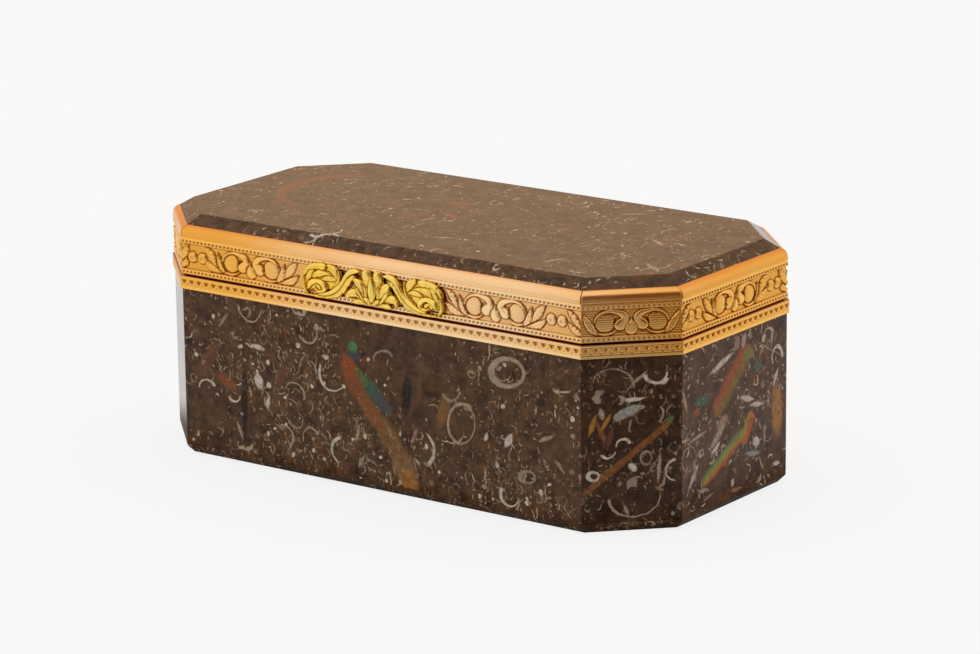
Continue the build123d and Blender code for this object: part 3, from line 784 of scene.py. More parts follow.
# A furrow cut with the edge of the punch, for the curl inside a volute.
def furrow(field, stroke, depth=0.12):
    path = smooth_path(stroke)
    gap = np.min([np.hypot(field["u"] - x, field["v"] - y) - w for x, y, w in path], axis=0)
    line = 1 / (1 + np.exp(np.minimum(gap / 0.03, 60.0)))
    field["height"] = field["height"] - depth * line
    field["cut"] = np.maximum(field["cut"], line)


# How far each place lies from the middle of its step, where whole steps fill the side.
def repeated(u, step):
    length = u.max() - u.min()
    step = length / round(length / step)
    return (((u - u.min()) / step) % 1.0 - 0.5) * step


# A stroke as it is drawn for turn 1, and mirrored for turn -1.
def handed(stroke, turn):
    return [(turn * u, v, w) for u, v, w in stroke]


def moved(stroke, du):
    return [(u + du, v, w) for u, v, w in stroke]


# Wherever the surface lies lower than what is round it, the dirt colour is painted in, as dirt and as
# painted shade.
def settle_dirt_and_shade(field, reach=3, depth=0.10):
    # The mean height within reach, by running sums up the rows and then along them.
    mean = field["height"].copy()
    for axis in (0, 1):
        padded = np.pad(mean, [(reach, reach) if axis == k else (0, 0) for k in (0, 1)], mode="edge")
        total = np.cumsum(padded, axis=axis)
        size = mean.shape[axis]
        high = np.take(total, np.arange(2 * reach, 2 * reach + size), axis=axis)
        low = np.take(total, np.arange(0, size), axis=axis)
        mean = (high - low) / (2 * reach)
    hollow = np.clip((mean - field["height"]) / depth, 0, 1)
    field["cut"] = np.maximum(field["cut"], 0.8 * hollow)


print("a relief has a point every", PITCH, "mm")

# %% [markdown]
# ## The frieze
#
# Round the lid runs one unit again and again: a husk in the middle, a volute on each side of it
# that throws a C-scroll over a lined oval, a leaf against the oval and a spray of two leaves.
# Pairs of berries and a corner leaf fill the rest of each side. Above and below run narrow
# fillets with a row of punched dots. The unit is drawn once, for its right half, and mirrored.

# %% Draw the frieze
BAND_HEIGHT = band_high[2] - band_low[2]
FRIEZE_LOW, FRIEZE_HIGH = 0.9, 4.5
DOT_STEP, DOT_RADIUS, DOT_LEVELS = 0.69, 0.14, (0.47, 4.87)
GROUND_DEPTH, SHADED_FILLET_HEIGHT = 0.28, 0.12
BERRY_LEVEL, BERRY_RADIUS, END_SQUEEZE = 2.65, 0.78, 0.4

OVAL_MIDDLE, OVAL_RADII = (3.6, 2.68), (1.42, 1.4)
SCROLL = [
    (1.9, 2.3, 0.5), (1.5, 2.33, 0.76), (1.0, 2.75, 0.68), (0.84, 3.3, 0.54), (1.3, 3.85, 0.46),
    (2.1, 4.12, 0.32), (3.1, 4.25, 0.22), (4.1, 4.02, 0.19), (4.85, 3.4, 0.14), (5.1, 2.7, 0.05),
]
SCROLL_EYE = [(1.5, 3.3, 0.04), (1.95, 3.25, 0.13), (2.32, 2.85, 0.15), (2.3, 2.3, 0.05)]
OVAL_STEM = [(2.0, 1.75, 0.07), (2.7, 1.28, 0.15), (3.6, 1.1, 0.16), (4.5, 1.25, 0.12)]
HUSK = [(0.0, 1.76, 0.86), (0.0, 2.05, 0.78), (0.0, 2.45, 0.48), (0.0, 2.8, 0.26), (0.0, 3.15, 0.1)]
OVAL_LEAF = [(4.5, 1.2, 0.14), (5.2, 1.75, 0.48), (5.65, 2.6, 0.52), (6.0, 3.75, 0.08)]
SPRAY = (
    [(6.0, 1.9, 0.16), (6.7, 2.7, 0.56), (7.35, 3.5, 0.6), (8.2, 4.4, 0.1)],
    [(5.3, 1.15, 0.1), (6.4, 1.36, 0.42), (7.4, 1.7, 0.54), (8.4, 2.5, 0.08)],
)
CORNER_LEAVES = (
    [(0.1, 2.0, 0.2), (-0.7, 2.85, 0.5), (-1.4, 3.6, 0.5), (-2.2, 4.4, 0.08)],
    [(0.1, 1.2, 0.16), (-0.7, 1.5, 0.46), (-1.4, 1.9, 0.44), (-2.1, 2.6, 0.06)],
)
CANT_LEAF = [(4.7, 1.15, 0.14), (5.4, 1.85, 0.5), (6.0, 2.8, 0.5), (6.5, 3.9, 0.08)]

# What lies where along each kind of side: the middles of the units, the berries, and how far the
# leaves reach in from the left and the right corner.
LAYOUT = {
    "front": ((-21.9, 20.4), (-32.6, -30.8, 29.6, 31.35), (0.5, 1.0)),
    "back": ((-20.4, 0.0, 20.4), (-31.35, -29.6, -11.0, -9.3, 9.3, 11.0, 29.6, 31.35), (1.0, 1.0)),
    "end": ((0.0,), (-10.75, -9.0, 9.0, 10.75), (0.9, 0.9)),
    "cant": ((0.0,), (), ()),
}


# A low boss, lined like the ground, with a groove round it.
def chase_oval(field, middle):
    off_u, off_v = field["u"] - middle, field["v"] - OVAL_MIDDLE[1]
    round_about = np.hypot(off_u / OVAL_RADII[0], off_v / OVAL_RADII[1])
    inside = round_about < 1
    outline = np.exp(-((round_about - 1) * OVAL_RADII[0] / 0.1) ** 2)
    field["height"][inside] = 0.16 * np.sqrt(1 - round_about[inside] ** 2)
    field["ground"][inside], field["cut"][inside] = 0.7, 0.0
    field["height"] -= 0.12 * outline
    field["cut"] = np.maximum(field["cut"], outline)


def chase_unit(field, middle, leaves, squeeze):
    for turn in (1, -1):
        for leaf in leaves:
            chase(field, moved(handed(moved(leaf, -squeeze), turn), middle), rise=0.26, lobes=5,
                  vein=0.1, notch=0.5)
        chase_oval(field, middle + turn * OVAL_MIDDLE[0])
        for stroke in (OVAL_STEM, SCROLL):
            chase(field, moved(handed(stroke, turn), middle), rise=0.27, crown=0.5)
        furrow(field, moved(handed(SCROLL_EYE, turn), middle))
    chase(field, moved(HUSK, middle), rise=0.27, crown=0.6)


def chase_berry(field, at):
    ends = [(at - 0.02, BERRY_LEVEL, BERRY_RADIUS), (at + 0.02, BERRY_LEVEL, BERRY_RADIUS)]
    chase(field, ends, rise=0.26, crown=0.5)
    # The dimple is sunk and painted with the dirt colour, as painted shade.
    dimple = np.exp(-((np.hypot(field["u"] - at, field["v"] - BERRY_LEVEL)) / 0.3) ** 2)
    field["height"] -= 0.1 * dimple
    field["cut"] = np.maximum(field["cut"], 0.35 * dimple)


# A raised strip with square dots punched in it.
def dot_row(field, level):
    u, v = field["u"], field["v"]
    away = np.maximum(np.abs(repeated(u, DOT_STEP)), np.abs(v - level))
    dot = 1 / (1 + np.exp((away - DOT_RADIUS) / 0.03))
    strip = 1 / (1 + np.exp((np.abs(v - level) - 0.36) / 0.03))
    field["height"] += 0.12 * strip - 0.16 * dot
    field["cut"] = np.maximum(field["cut"] * (1 - strip), 0.85 * dot)


def side_kind(side):
    return SIDES[side] if SIDES[side] in LAYOUT else SIDES[side].split("_")[-1]


# The relief of one side. Its highest parts are level with the face of the band, at height 0.
def frieze(side):
    field = new_field(side_length(side, band_proud), BAND_HEIGHT)
    v = field["v"]
    corner = field["u"].max()
    field["ground"][(v > FRIEZE_LOW + 0.08) & (v < FRIEZE_HIGH - 0.08)] = 1.0
    kind = side_kind(side)
    units, berries, reaches = LAYOUT[kind]
    leaves = [CANT_LEAF] if kind == "cant" else [*SPRAY, OVAL_LEAF]
    for middle in units:
        chase_unit(field, middle, leaves, END_SQUEEZE * (kind == "end"))
    for turn, reach in zip((-1, 1), reaches):
        for leaf in CORNER_LEAVES:
            placed = [(corner + reach * u, level, width) for u, level, width in leaf]
            chase(field, handed(placed, turn), rise=0.26, lobes=4, vein=0.1, notch=0.5)
    for at in berries:
        chase_berry(field, at)
    settle_dirt_and_shade(field)
    beyond = np.abs(v - (FRIEZE_LOW + FRIEZE_HIGH) / 2) - (FRIEZE_HIGH - FRIEZE_LOW) / 2
    border = np.clip(beyond / 0.07, 0, 1)
    field["height"] = field["height"] * (1 - border) + (GROUND_DEPTH - 0.14) * border
    for key in ("ground", "cut"):
        field[key] *= 1 - border
    for level in (FRIEZE_LOW, FRIEZE_HIGH):
        field["cut"] = np.maximum(field["cut"], 0.8 * np.exp(-((v - level) / 0.06) ** 2))
    for level in DOT_LEVELS:
        dot_row(field, level)
    # The lowest fillet of the band is painted with the dirt colour, as painted shade along its lower edge.
    field["cut"] = np.maximum(field["cut"], 0.45 * (v < SHADED_FILLET_HEIGHT))
    field["height"] = np.minimum(field["height"], GROUND_DEPTH)
    # The lower a place lies, the more it is painted towards the darker low tint, as painted shade.
    field["hollow"] = 1 - np.clip(field["height"] / GROUND_DEPTH, 0, 1)
    field["height"] -= GROUND_DEPTH
    return field


print("units of the frieze:", sum(len(LAYOUT[side_kind(side)][0]) for side in range(len(SIDES))))

# %% [markdown]
# ## The rim of the base
#
# Under the joint runs a plain fillet, a row of small triangles cut with a three-sided punch, each
# with a shallow nick below and between, and a plain edge. Each is a formula of the distance
# along the side, with its step stretched a little so that a whole number of triangles fits. The
# pits and nicks are painted dark as painted shade, the left half of each pit darker than the right.

# %% Draw the rim
RIM_HEIGHT = rim_high[2] - rim_low[2]
TRIANGLE_STEP = 1.33
PIT_LOW, PIT_HIGH, PIT_HALF_WIDTH, PIT_DEPTH = 0.66, 1.42, 0.6, 0.16
NICK_LOW, NICK_HIGH, NICK_HALF_WIDTH, NICK_DEPTH = 0.58, 1.0, 0.34, 0.1
PIT_WALL, SHADED_ROW_MIDDLE, SHADED_ROW_REACH = 0.16, 1.0, 0.42
RIM_LINES = ((0.5, 0.4), (1.56, 0.35))      # the height of each line and how dark it is


# A pit with three sloping walls: 1 on its floor and 0 outside. Its point is at one level and its
# straight edge at the other.
def sunk_triangle(across, level, point, base, half_width):
    rise = (level - point) / (base - point)
    slope = half_width / abs(base - point)
    from_sides = half_width * rise - np.abs(across)
    from_base = slope * np.abs(base - level) * (rise < 1)
    return np.clip(np.minimum(from_sides, from_base) / PIT_WALL, 0, 1)


def rim_relief(side):
    field = new_field(side_length(side, rim_proud), RIM_HEIGHT)
    u, v = field["u"], field["v"]
    across = repeated(u, TRIANGLE_STEP)
    between = TRIANGLE_STEP / 2 - np.abs(across)
    pit = sunk_triangle(across, v, PIT_LOW, PIT_HIGH, PIT_HALF_WIDTH)
    nick = sunk_triangle(between, v, NICK_HIGH, NICK_LOW, NICK_HALF_WIDTH)
    field["height"] -= PIT_DEPTH * pit + NICK_DEPTH * nick
    # The pits and nicks are painted with the dirt colour as painted shade, the left half of each pit
    # darker.
    field["cut"] = np.maximum(pit * np.where(across < 0.1, 0.8, 0.35), 0.4 * nick)
    # The middle of the row of pits is painted towards the darker low tint, as painted shade.
    field["hollow"] = 0.8 * np.exp(-((v - SHADED_ROW_MIDDLE) / SHADED_ROW_REACH) ** 4)
    for level, darkness in RIM_LINES:
        line = np.exp(-((v - level) / 0.05) ** 2)
        field["height"] -= 0.06 * line
        field["cut"] = np.maximum(field["cut"], darkness * line)
    field["height"] = np.minimum(field["height"], 0)
    return field


print("triangles along the front:", round(side_length(0, rim_proud) / TRIANGLE_STEP))

# %% [markdown]
# ## From field to mount
#
# A mount is an angle section that runs along one side and is mitred at both ends. Its section is
# walked once round, the chased face with many rows and the plain inner faces with few, and each
# row is drawn from corner to corner, so that neighbours meet exactly at the mitre. At the back
# the face is hollowed along the hinge, where the knuckles lie.

# %% Sweep a closed section along a side
GROOVE_RADIUS, HALF_HINGE = 0.88, 30.0      # the groove that the knuckles lie in


def hinge_hollow(offset, level, x):
    reach = GROOVE_RADIUS ** 2 - (level - axis_z) ** 2
    hollow = axis_y - half_depth - np.sqrt(np.maximum(reach, 0))
    return np.where((reach > 0) & (np.abs(x) < HALF_HINGE), np.minimum(offset, hollow), offset)


# The points and faces of a closed strip along one side. Each point has its offset outside the
# plates and its level above the table, and t runs from 0 to 1 along the side.
def swept(side, offset, level, t):
    corners, grown = plan_corners(0), plan_corners(1)
    start, end = corners[side], corners[(side + 1) % 8]
    start_grow, end_grow = grown[side] - start, grown[(side + 1) % 8] - end
    xy = (start + (end - start) * t[None, :, None]
          + offset[..., None] * (start_grow + (end_grow - start_grow) * t[None, :, None]))
    points = np.concatenate([xy, level[..., None]], 2).reshape(-1, 3)
    grid = np.arange(offset.size).reshape(offset.shape)
    after = np.roll(grid, -1, axis=0)
    faces = np.stack([grid[:, :-1], grid[:, 1:], after[:, 1:], after[:, :-1]], -1).reshape(-1, 4)
    return points, [*faces, grid[:, 0].tolist(), grid[::-1, -1].tolist()]


# Makes a piece that moves with its body and takes the place of the CAD nodes it replaces.
def make_mesh(name, points, faces, attributes, material, body, replaced):
    # Whole arrays are copied at once, which is quick even for the band's many points.
    mesh = bpy.data.meshes.new(name)
    mesh.from_pydata([], [], [])
    mesh.vertices.add(len(points))
    mesh.vertices.foreach_set("co", (points * MM).astype(np.float32).ravel())
    sizes = np.array([len(f) for f in faces])
    mesh.loops.add(int(sizes.sum()))
    mesh.loops.foreach_set("vertex_index", np.concatenate([np.asarray(f) for f in faces]).astype(np.int32))
    mesh.polygons.add(len(faces))
    mesh.polygons.foreach_set("loop_start", np.concatenate([[0], np.cumsum(sizes)[:-1]]).astype(np.int32))
    mesh.update(calc_edges=True)
    mesh.validate()
    for key, values in attributes.items():
        mesh.attributes.new(key, "FLOAT", "POINT").data.foreach_set("value", values.astype(np.float32))
    mesh.materials.append(material)
    piece = bpy.data.objects.new(name, mesh)
    bpy.context.scene.collection.objects.link(piece)
    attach(piece, body)
    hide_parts(*replaced)
    return piece


def sweep_side(name, side, field, low, proud, inner, body, replaced):
    across = field["u"][0]
    offset = proud + field["height"]
    level = low + field["v"]
    t = (across - across[0]) / (across[-1] - across[0])
    if SIDES[side] == "back":
        offset = hinge_hollow(offset, level, field["u"])
    for inner_offset, inner_level in inner:
        offset = np.vstack([offset, np.full(across.size, inner_offset)])
        level = np.vstack([level, np.full(across.size, inner_level)])
    points, faces = swept(side, offset, level, t)
    extra = np.zeros((len(inner), across.size))
    attributes = {k: np.vstack([field[k], extra]).ravel() for k in ("ground", "cut", "hollow")}
    return make_mesh(name, points, faces, attributes, chased_red_gold, body, [replaced])


# The inner corners of the two angle sections, as offset and level.
FLANGE, WALL, LINING_INSET, RIM_INSET, BAND_WALL = 0.45, 2.6, 1.65, 0.22, 0.7
BAND_INNER = (
    (band_proud - BAND_WALL, band_high[2]), (band_proud - BAND_WALL, band_low[2] + FLANGE),
    (-LINING_INSET, band_low[2] + FLANGE), (-LINING_INSET, band_low[2]),
)
RIM_INNER = (
    (-WALL, rim_high[2]), (-WALL, rim_high[2] - FLANGE),
    (-RIM_INSET, rim_high[2] - FLANGE), (-RIM_INSET, rim_low[2]),
)
for side, name in enumerate(SIDES):
    sweep_side(f"{name}_chased_band", side, frieze(side), band_low[2], band_proud, BAND_INNER,
               "lid", "lid_band")
    sweep_side(f"{name}_chased_rim", side, rim_relief(side), rim_low[2], rim_proud, RIM_INNER,
               "base", "base_rim")
print("mounts swept on", len(SIDES), "sides")

# %% [markdown]
# ## The mouldings over the frieze
#
# Eight convex strips lean in from the frieze to the bevel of the lid. They are plain, and the
# light runs along them, so their curve has to be smooth and their ends crisp: each is a strip
# with its own rounded ends, parted from its neighbour by a dark mitre.

# %% Make the mouldings
FACE_START, BULGE = 0.18, 0.34
# Near each end: the distance from the end, and how far the face is rounded down there.
END_PLACES, END_DROPS = np.array([0.06, 0.09, 0.16, 0.3]), np.array([0.09, 0.04, 0.012, 0.0])


def moulding(side):
    low, high = moulding_low[2], moulding_high[2]
    turns = np.linspace(0, 1, 15)
    bulge = BULGE * np.sin(np.pi * turns)
    chord = np.array([-slab_inset - band_proud, high - low - FACE_START])
    across = np.array([chord[1], -chord[0]]) / np.linalg.norm(chord)
    face = np.array([band_proud, low + FACE_START]) + turns[:, None] * chord + bulge[:, None] * across
    section = np.array([(band_proud - 0.05, low), (band_proud + 0.03, low + 0.06), *face,
                        (-slab_inset, high - 0.1), (-slab_inset, low)])
    length = side_length(side, 0)
    middle = np.linspace(1.0, length - 1.0, 60)
    stations = np.concatenate([END_PLACES, middle, length - END_PLACES[::-1]])
    drop = np.concatenate([END_DROPS, np.zeros(60), END_DROPS[::-1]])
    on_face = (section[:, 1] > low + 0.1) & (section[:, 0] > -slab_inset + 0.02)
    offset = section[:, :1] - drop * on_face[:, None]
    level = np.repeat(section[:, 1:], len(stations), axis=1)
    points, faces = swept(side, offset, level, stations / length)
    piece = make_mesh(f"{SIDES[side]}_strip", points, faces, {}, polished_red_gold, "lid",
                      [f"{SIDES[side]}_moulding"])
    piece.data.polygons.foreach_set("use_smooth", [True] * len(piece.data.polygons))
    return piece


strips = [moulding(side) for side in range(len(SIDES))]
print("mouldings:", len(strips), "with", len(strips[0].data.polygons), "faces each")

# %% [markdown]
# ## The thumbpiece
#
# At the front a separate piece of green gold is soldered to the frieze, for the thumb to lift the
# lid by. It is two volutes wrapped in leaves, joined by an S-curved acanthus stem on each side of
# an upright palmette. It uses the same strokes as the frieze, laid from back to front in higher
# relief, and is then cut out along the outline of all of its leaves, as with a piercing saw.

# %% Draw the thumbpiece
thumb_low, thumb_high = box_mm("thumbpiece")
THUMB_MIDDLE = (thumb_low[2] + thumb_high[2]) / 2
THUMB_PITCH, LINE_WIDTH = 0.055, 0.08

# The left half, as x, height and half width of each point, from the back leaves to the front ones.
UNDER_SHEET = (
    [(-10.6, 0.0, 1.3), (-9.6, 0.3, 1.7), (-8.4, 0.4, 1.5), (-7.2, 0.2, 1.4)],
    [(-3.2, -1.2, 0.5), (-2.2, -0.6, 1.0), (-1.4, 0.2, 0.9), (-1.0, 1.0, 0.7)],
    [(-2.6, -2.0, 0.3), (-1.2, -1.9, 0.4), (0.0, -1.8, 0.5)],
)
WRAP_LEAVES = (
    [(-11.2, -2.2, 0.12), (-11.72, -1.4, 0.3), (-11.85, -0.6, 0.28), (-11.8, 0.3, 0.08)],
    [(-11.9, 0.45, 0.14), (-11.4, 1.05, 0.44), (-10.5, 1.68, 0.52), (-9.3, 1.98, 0.52), (-8.5, 2.0, 0.5),
     (-8.1, 2.1, 0.2)],
    [(-11.3, -1.1, 0.12), (-11.15, 0.0, 0.42), (-10.7, 0.75, 0.48), (-10.0, 1.45, 0.08)],
    [(-5.95, 0.2, 0.14), (-6.15, 1.1, 0.52), (-6.7, 1.75, 0.58), (-7.3, 2.15, 0.34), (-7.55, 2.4, 0.1)],
    [(-10.3, 0.2, 0.16), (-9.7, 0.8, 0.52), (-8.8, 1.0, 0.48), (-7.9, 1.1, 0.28), (-7.0, 0.95, 0.06)],
    [(-6.15, 0.3, 0.1), (-7.0, 0.45, 0.42), (-7.8, 0.4, 0.42), (-8.6, 0.2, 0.06)],
    [(-7.4, -1.5, 0.16), (-6.45, -0.85, 0.44), (-5.85, 0.15, 0.32), (-5.65, 1.0, 0.18), (-5.6, 1.7, 0.05)],
)
VOLUTE_BODY = [(-10.8, -0.9, 0.6), (-10.2, -0.75, 0.9), (-9.4, -0.85, 0.95)]
VOLUTE_BAND = [
    (-11.0, -1.3, 0.2), (-10.6, -0.55, 0.42), (-9.7, -0.2, 0.38), (-8.75, -0.35, 0.42), (-8.2, -0.9, 0.38),
    (-8.5, -1.45, 0.3), (-9.2, -1.62, 0.2), (-9.8, -1.3, 0.1),
]
VOLUTE_LINES = (
    [(-9.5, -0.45, 0.06), (-9.0, -0.7, 0.1), (-8.75, -1.05, 0.1), (-8.55, -1.4, 0.05)],
    [(-9.8, -0.95, 0.05), (-9.55, -1.15, 0.06), (-9.35, -1.35, 0.05)],
    [(-10.45, -1.45, 0.16), (-10.05, -1.65, 0.17), (-9.7, -1.8, 0.08)],
)
STEM_EDGE = [
    (-11.1, -2.25, 0.1), (-10.2, -2.3, 0.2), (-8.8, -2.28, 0.26), (-7.5, -2.1, 0.38), (-6.3, -1.7, 0.5),
    (-5.4, -1.0, 0.56), (-4.65, -0.15, 0.54), (-4.05, 0.6, 0.48), (-3.4, 1.15, 0.38), (-2.8, 1.4, 0.08),
]
STEM_BAND = [
    (-9.3, -2.0, 0.1), (-8.2, -1.85, 0.24), (-7.1, -1.45, 0.34), (-6.15, -0.85, 0.36), (-5.45, -0.2, 0.3),
    (-4.95, 0.45, 0.26), (-4.45, 1.2, 0.32), (-3.7, 1.85, 0.38), (-2.9, 2.12, 0.36), (-2.15, 2.15, 0.1),
]
STEM_LEAVES = (
    [(-2.3, -1.35, 0.14), (-3.0, -1.0, 0.6), (-3.7, -1.1, 0.6), (-4.25, -1.5, 0.35), (-4.55, -1.9, 0.06)],
)
PALMETTE_LEAVES = (
    [(-1.0, -2.2, 0.12), (-1.9, -2.1, 0.4), (-2.8, -2.15, 0.34), (-3.45, -2.25, 0.06)],
    [(-1.3, -1.95, 0.1), (-1.85, -1.25, 0.32), (-2.35, -0.5, 0.36), (-2.95, 0.35, 0.06)],
    [(-1.2, -1.3, 0.12), (-1.5, -0.5, 0.46), (-2.1, 0.3, 0.62), (-2.75, 0.85, 0.4), (-3.05, 1.1, 0.08)],
    [(-1.1, -0.2, 0.14), (-1.0, 0.9, 0.46), (-0.95, 1.6, 0.78), (-0.95, 2.1, 0.62), (-0.95, 2.45, 0.2)],
    [(-0.95, -1.5, 0.1), (-1.05, -0.8, 0.3), (-1.1, -0.1, 0.26), (-1.15, 0.5, 0.05)],
    [(-0.1, -2.3, 0.12), (-0.55, -1.9, 0.42), (-1.0, -1.6, 0.3), (-1.3, -1.35, 0.05)],
)
PALMETTE_HEART = [(0.0, -1.6, 0.3), (0.0, -0.6, 0.66), (0.0, 0.2, 0.66), (0.0, 1.0, 0.4), (0.0, 1.7, 0.06)]


# The strokes in the order they are laid, each group with how it is raised. The lines inside the
# volute are cut between the two tables.
BACK_STROKES = (
    (WRAP_LEAVES, {"rise": 0.34, "base": 0.26, "lift": 0.14, "lobes": 3, "vein": 0.1, "notch": 0.2}),
    ([VOLUTE_BODY], {"rise": 0.14, "base": 0.4}),
    ([VOLUTE_BAND], {"rise": 0.3, "base": 0.46}),
)
FRONT_STROKES = (
    (STEM_LEAVES, {"rise": 0.36, "base": 0.26, "lift": 0.12, "lobes": 3, "vein": 0.1, "notch": 0.25}),
    ([STEM_EDGE], {"rise": 0.36, "base": 0.3, "lobes": 7, "vein": 0.08, "notch": 0.34}),
    ([STEM_BAND], {"rise": 0.34, "base": 0.44, "vein": 0.05}),
    (PALMETTE_LEAVES, {"rise": 0.36, "base": 0.3, "lift": 0.12, "lobes": 2, "vein": 0.1, "notch": 0.2}),
)


def lay_strokes(field, groups, turn):
    for strokes, raised in groups:
        for stroke in strokes:
            chase(field, handed(stroke, turn), groove=0.2, line_width=LINE_WIDTH, **raised)


def thumb_relief():
    field = new_field(thumb_high[0] - thumb_low[0], thumb_high[2] - thumb_low[2], THUMB_PITCH,
                      low=(thumb_low[2] - thumb_high[2]) / 2)
    for turn in (1, -1):
        for patch in UNDER_SHEET:
            chase(field, handed(patch, turn), rise=0.05, base=0.2, groove=0.0)
    for turn in (1, -1):
        lay_strokes(field, BACK_STROKES, turn)
        for line in VOLUTE_LINES:
            furrow(field, handed(line, turn), depth=0.26)
        lay_strokes(field, FRONT_STROKES, turn)
    chase(field, PALMETTE_HEART, rise=0.4, base=0.42, vein=0.1, groove=0.2, line_width=LINE_WIDTH)
    settle_dirt_and_shade(field, reach=3, depth=0.5)
    # The low parts of the thumbpiece are painted towards the darker low tint, as painted shade.
    field["hollow"] = 1 - np.clip((field["height"] - 0.25) / 0.5, 0, 1)
    return field


print("strokes on each half:", sum(len(strokes) for strokes, _ in (*BACK_STROKES, *FRONT_STROKES)))

# %% [markdown]
# A grid cut along its own squares would have a stepped edge. Each stroke has therefore left the
# distance from every place to its edge, below 0 on the inside. The squares inside are kept, and
# the points along their border are moved down the slope of that distance onto the outline. The
# front is then copied to a flat back, and walls join the two, as on a sawn sheet.

# %% Cut the thumbpiece out and stand it on the band
THINNEST, MOST_SHIFT = 0.12, 0.8 * THUMB_PITCH


def cut_out(name, field, face_y, back_y, proud):
    u, v, edge = field["u"].copy(), field["v"].copy(), field["edge"]
    keep = (edge[:-1, :-1] + edge[1:, :-1] + edge[:-1, 1:] + edge[1:, 1:]) / 4 < 0
    touching = np.zeros(u.shape, int)
    for rows in (slice(0, -1), slice(1, None)):
        for columns in (slice(0, -1), slice(1, None)):
            touching[rows, columns] += keep
    # A point that fewer than four kept squares touch is on the border, and moves to the outline.
    border = (touching > 0) & (touching < 4)
    slope_v, slope_u = np.gradient(edge, THUMB_PITCH)
    shift = np.where(border, np.clip(edge, -MOST_SHIFT, MOST_SHIFT), 0)
    half_width, half_height = np.abs(u).max(), np.abs(v).max()
    u = np.clip(u - shift * slope_u, -half_width, half_width)
    v = np.clip(v - shift * slope_v, -half_height, half_height)
    height = np.clip(field["height"], THINNEST, proud)
    number = np.full(u.shape, -1)
    used = touching > 0
    number[used] = np.arange(used.sum())
    front = np.column_stack([u[used], face_y - height[used], THUMB_MIDDLE + v[used]])
    behind = front.copy()
    behind[:, 1] = back_y
    count = len(front)
    r, c = np.nonzero(keep)
    quads = np.stack([number[r, c], number[r, c + 1], number[r + 1, c + 1], number[r + 1, c]], 1)
    edges = np.concatenate([quads[:, [0, 1]], quads[:, [1, 2]], quads[:, [2, 3]], quads[:, [3, 0]]])
    # An edge that no other square shares is on the outline, and gets a wall to the back.
    codes = edges[:, 0] * count + edges[:, 1]
    back_codes = edges[:, 1] * count + edges[:, 0]
    start, end = edges[~np.isin(back_codes, codes)].T
    walls = np.stack([end, start, start + count, end + count], 1)
    faces = np.concatenate([quads, quads[:, ::-1] + count, walls])
    attributes = {k: np.tile(field[k][used], 2) for k in ("ground", "cut", "hollow")}
    return make_mesh(name, np.vstack([front, behind]), list(faces), attributes, chased_green_gold, "lid",
                     ["thumbpiece"])


band_face = -(half_depth + band_proud)
thumb = cut_out("chased_thumbpiece", thumb_relief(), band_face, thumb_high[1], band_face - thumb_low[1])
thumb.data.polygons.foreach_set("use_smooth", [True] * len(thumb.data.polygons))
print("thumbpiece faces:", len(thumb.data.polygons))

# %% [markdown]
# ## The floor, the room and the lights
#
# The box stands on white paper in a room of soft light. The paper is white to the camera and
# still takes the shadow of the box, because it is part glow and part plain matt paper. What the
# gold and the stone mirror of it is darker in two places: close beside the box, where the box
# keeps the light off, and on the side of the room that is left dark. That side is fixed in the
# room and doesn't turn with the camera.

# %% Floor
REACH = 3.0                 # half the width of the paper, in metres
DARK_SIDE = Vector((0.8, -0.6, 0.0))
SHADE_NEAR, SHADE_FAR, LIGHTEST, DARKEST = 38.0, 95.0, 0.96, 0.32
BESIDE_REACH, BESIDE_DARKEST, GLOW_SHARE = 14.0, 0.1, 0.85

floor_mesh = bpy.data.meshes.new("floor")
floor_mesh.from_pydata([(-REACH, -REACH, 0), (REACH, -REACH, 0), (REACH, REACH, 0), (-REACH, REACH, 0)],
                       [], [(0, 1, 2, 3)])
floor = bpy.data.objects.new("floor", floor_mesh)
bpy.context.scene.collection.objects.link(floor)
paper, tree = new_material("white_paper")
rays = tree.nodes.new("ShaderNodeLightPath").outputs
at = place_mm(tree)
across = add(tree, "VectorMath", {0: at, 1: DARK_SIDE}, output="Value", operation="DOT_PRODUCT")
shade = add(tree, "MapRange", {0: across, 1: SHADE_NEAR, 2: SHADE_FAR, 3: LIGHTEST, 4: DARKEST},
            interpolation_type="SMOOTHSTEP")
beside = add(tree, "VectorMath", {0: at}, operation="ABSOLUTE")
beside = add(tree, "VectorMath", {0: beside, 1: (half_length, half_depth, 0)}, operation="SUBTRACT")
beside = add(tree, "VectorMath", {0: beside, 1: (0, 0, 0)}, operation="MAXIMUM")
beside = add(tree, "VectorMath", {0: beside}, output="Value", operation="LENGTH")
beside = add(tree, "MapRange", {0: beside, 1: 0.0, 2: BESIDE_REACH, 3: BESIDE_DARKEST, 4: 1.0},
             interpolation_type="SMOOTHSTEP")
shade = add(tree, "Math", {0: shade, 1: beside}, operation="MULTIPLY")
strength = add(tree, "Mix", {0: rays["Is Camera Ray"], 2: shade, 3: 1.0}, data_type="FLOAT")
seen = add(tree, "Math", {0: rays["Is Camera Ray"], 1: rays["Is Glossy Ray"]}, operation="MAXIMUM")
seen = add(tree, "Math", {0: seen, 1: GLOW_SHARE}, operation="MULTIPLY")
matt = add(tree, "BsdfDiffuse", {"Color": "#e6e6e6"})
glow = add(tree, "Emission", {"Color": "#fdfdfd", "Strength": strength})
add(tree, "OutputMaterial", {"Surface": add(tree, "MixShader", {0: seen, 1: matt, 2: glow})})
floor_mesh.materials.append(paper)
print("the paper reaches", REACH, "m each way and darkens over", BESIDE_REACH, "mm beside the box")

# %% [markdown]
# Polished gold shows the room it stands in, so the room has some shape. It is white all round, a
# little brighter overhead, warm low down at the back, and dark on the same side as the paper. The
# camera itself sees a plain white backdrop.

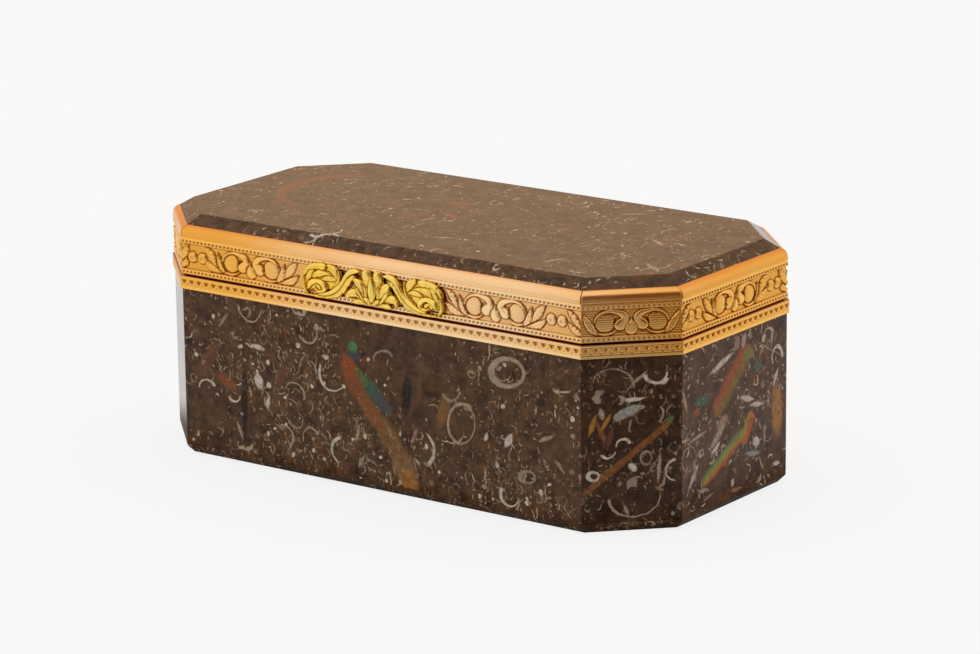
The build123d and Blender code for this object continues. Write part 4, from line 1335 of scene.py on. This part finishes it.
# %% Room
DARK_WAY, WARM_WAY, DARK_LEVEL, WARM_LEVEL = (0.8, -0.58, 0.1), (-0.57, 0.78, 0.2), 0.22, 0.08
world = bpy.data.worlds.new("studio")
bpy.context.scene.world = world
world.use_nodes = True
tree = world.node_tree
tree.nodes.clear()
rays = tree.nodes.new("ShaderNodeLightPath").outputs
way = add(tree, "TexCoord", output="Generated")


# Takes one value straight along a direction and another away from it. Near and far are the
# cosines of the angles between which it changes.
def facing(direction, near, far, level_near, level_far):
    dot = add(tree, "VectorMath", {0: way, 1: Vector(direction).normalized()}, output="Value",
              operation="DOT_PRODUCT")
    return add(tree, "MapRange", {0: dot, 1: far, 2: near, 3: level_far, 4: level_near},
               interpolation_type="SMOOTHSTEP")


dim = facing(DARK_WAY, 0.86, 0.5, 1.0, 0.0)
warm = facing(WARM_WAY, 0.9, 0.45, 1.0, 0.0)
zenith = facing((0, 0, 1), 0.98, 0.8, 1.0, 0.95)
level = add(tree, "MapRange", {0: dim, 3: 1.0, 4: DARK_LEVEL})
level = add(tree, "Math", {0: level, 1: zenith}, operation="MULTIPLY")
level = add(tree, "Math", {0: warm, 1: WARM_LEVEL, 2: level}, operation="MULTIPLY_ADD")
tint = add(tree, "Mix", {0: warm, 6: "#fffdfa", 7: "#efc9a4"}, output=2, data_type="RGBA")
tint = add(tree, "Mix", {0: dim, 6: tint, 7: "#e8b088"}, output=2, data_type="RGBA")
room = add(tree, "Background", {"Color": tint, "Strength": level})
backdrop = add(tree, "Background", {"Color": "#fdfdfd", "Strength": 1.0})
seen = add(tree, "MixShader", {0: rays["Is Camera Ray"], 1: room, 2: backdrop})
add(tree, "OutputWorld", {"Surface": seen})
print("the room is", len(tree.nodes), "nodes")

# %% [markdown]
# One wide soft lamp hangs over the box, a little behind and to the left. It lays the faint shadow
# on the paper and lifts the lid. It isn't seen in the gold, which would show it as a hard square.

# %% Lamps
LAMP_PLACE, LAMP_SIZE, LAMP_WATTS, LAMP_AIM = (-0.1, 0.1, 0.8), 1.0, 1.6, (0, 0, 0.02)
lamp = bpy.data.lights.new("overhead", "AREA")
lamp.shape, lamp.size, lamp.size_y, lamp.energy = "RECTANGLE", LAMP_SIZE, LAMP_SIZE, LAMP_WATTS
holder = bpy.data.objects.new("overhead", lamp)
bpy.context.scene.collection.objects.link(holder)
holder.location = LAMP_PLACE
holder.visible_glossy = False
holder.rotation_euler = (Vector(LAMP_PLACE) - Vector(LAMP_AIM)).to_track_quat("Z", "Y").to_euler()
bpy.context.scene.view_settings.view_transform = "Standard"
print("the lamp gives", LAMP_WATTS, "watts from", LAMP_PLACE[2], "m above the paper")
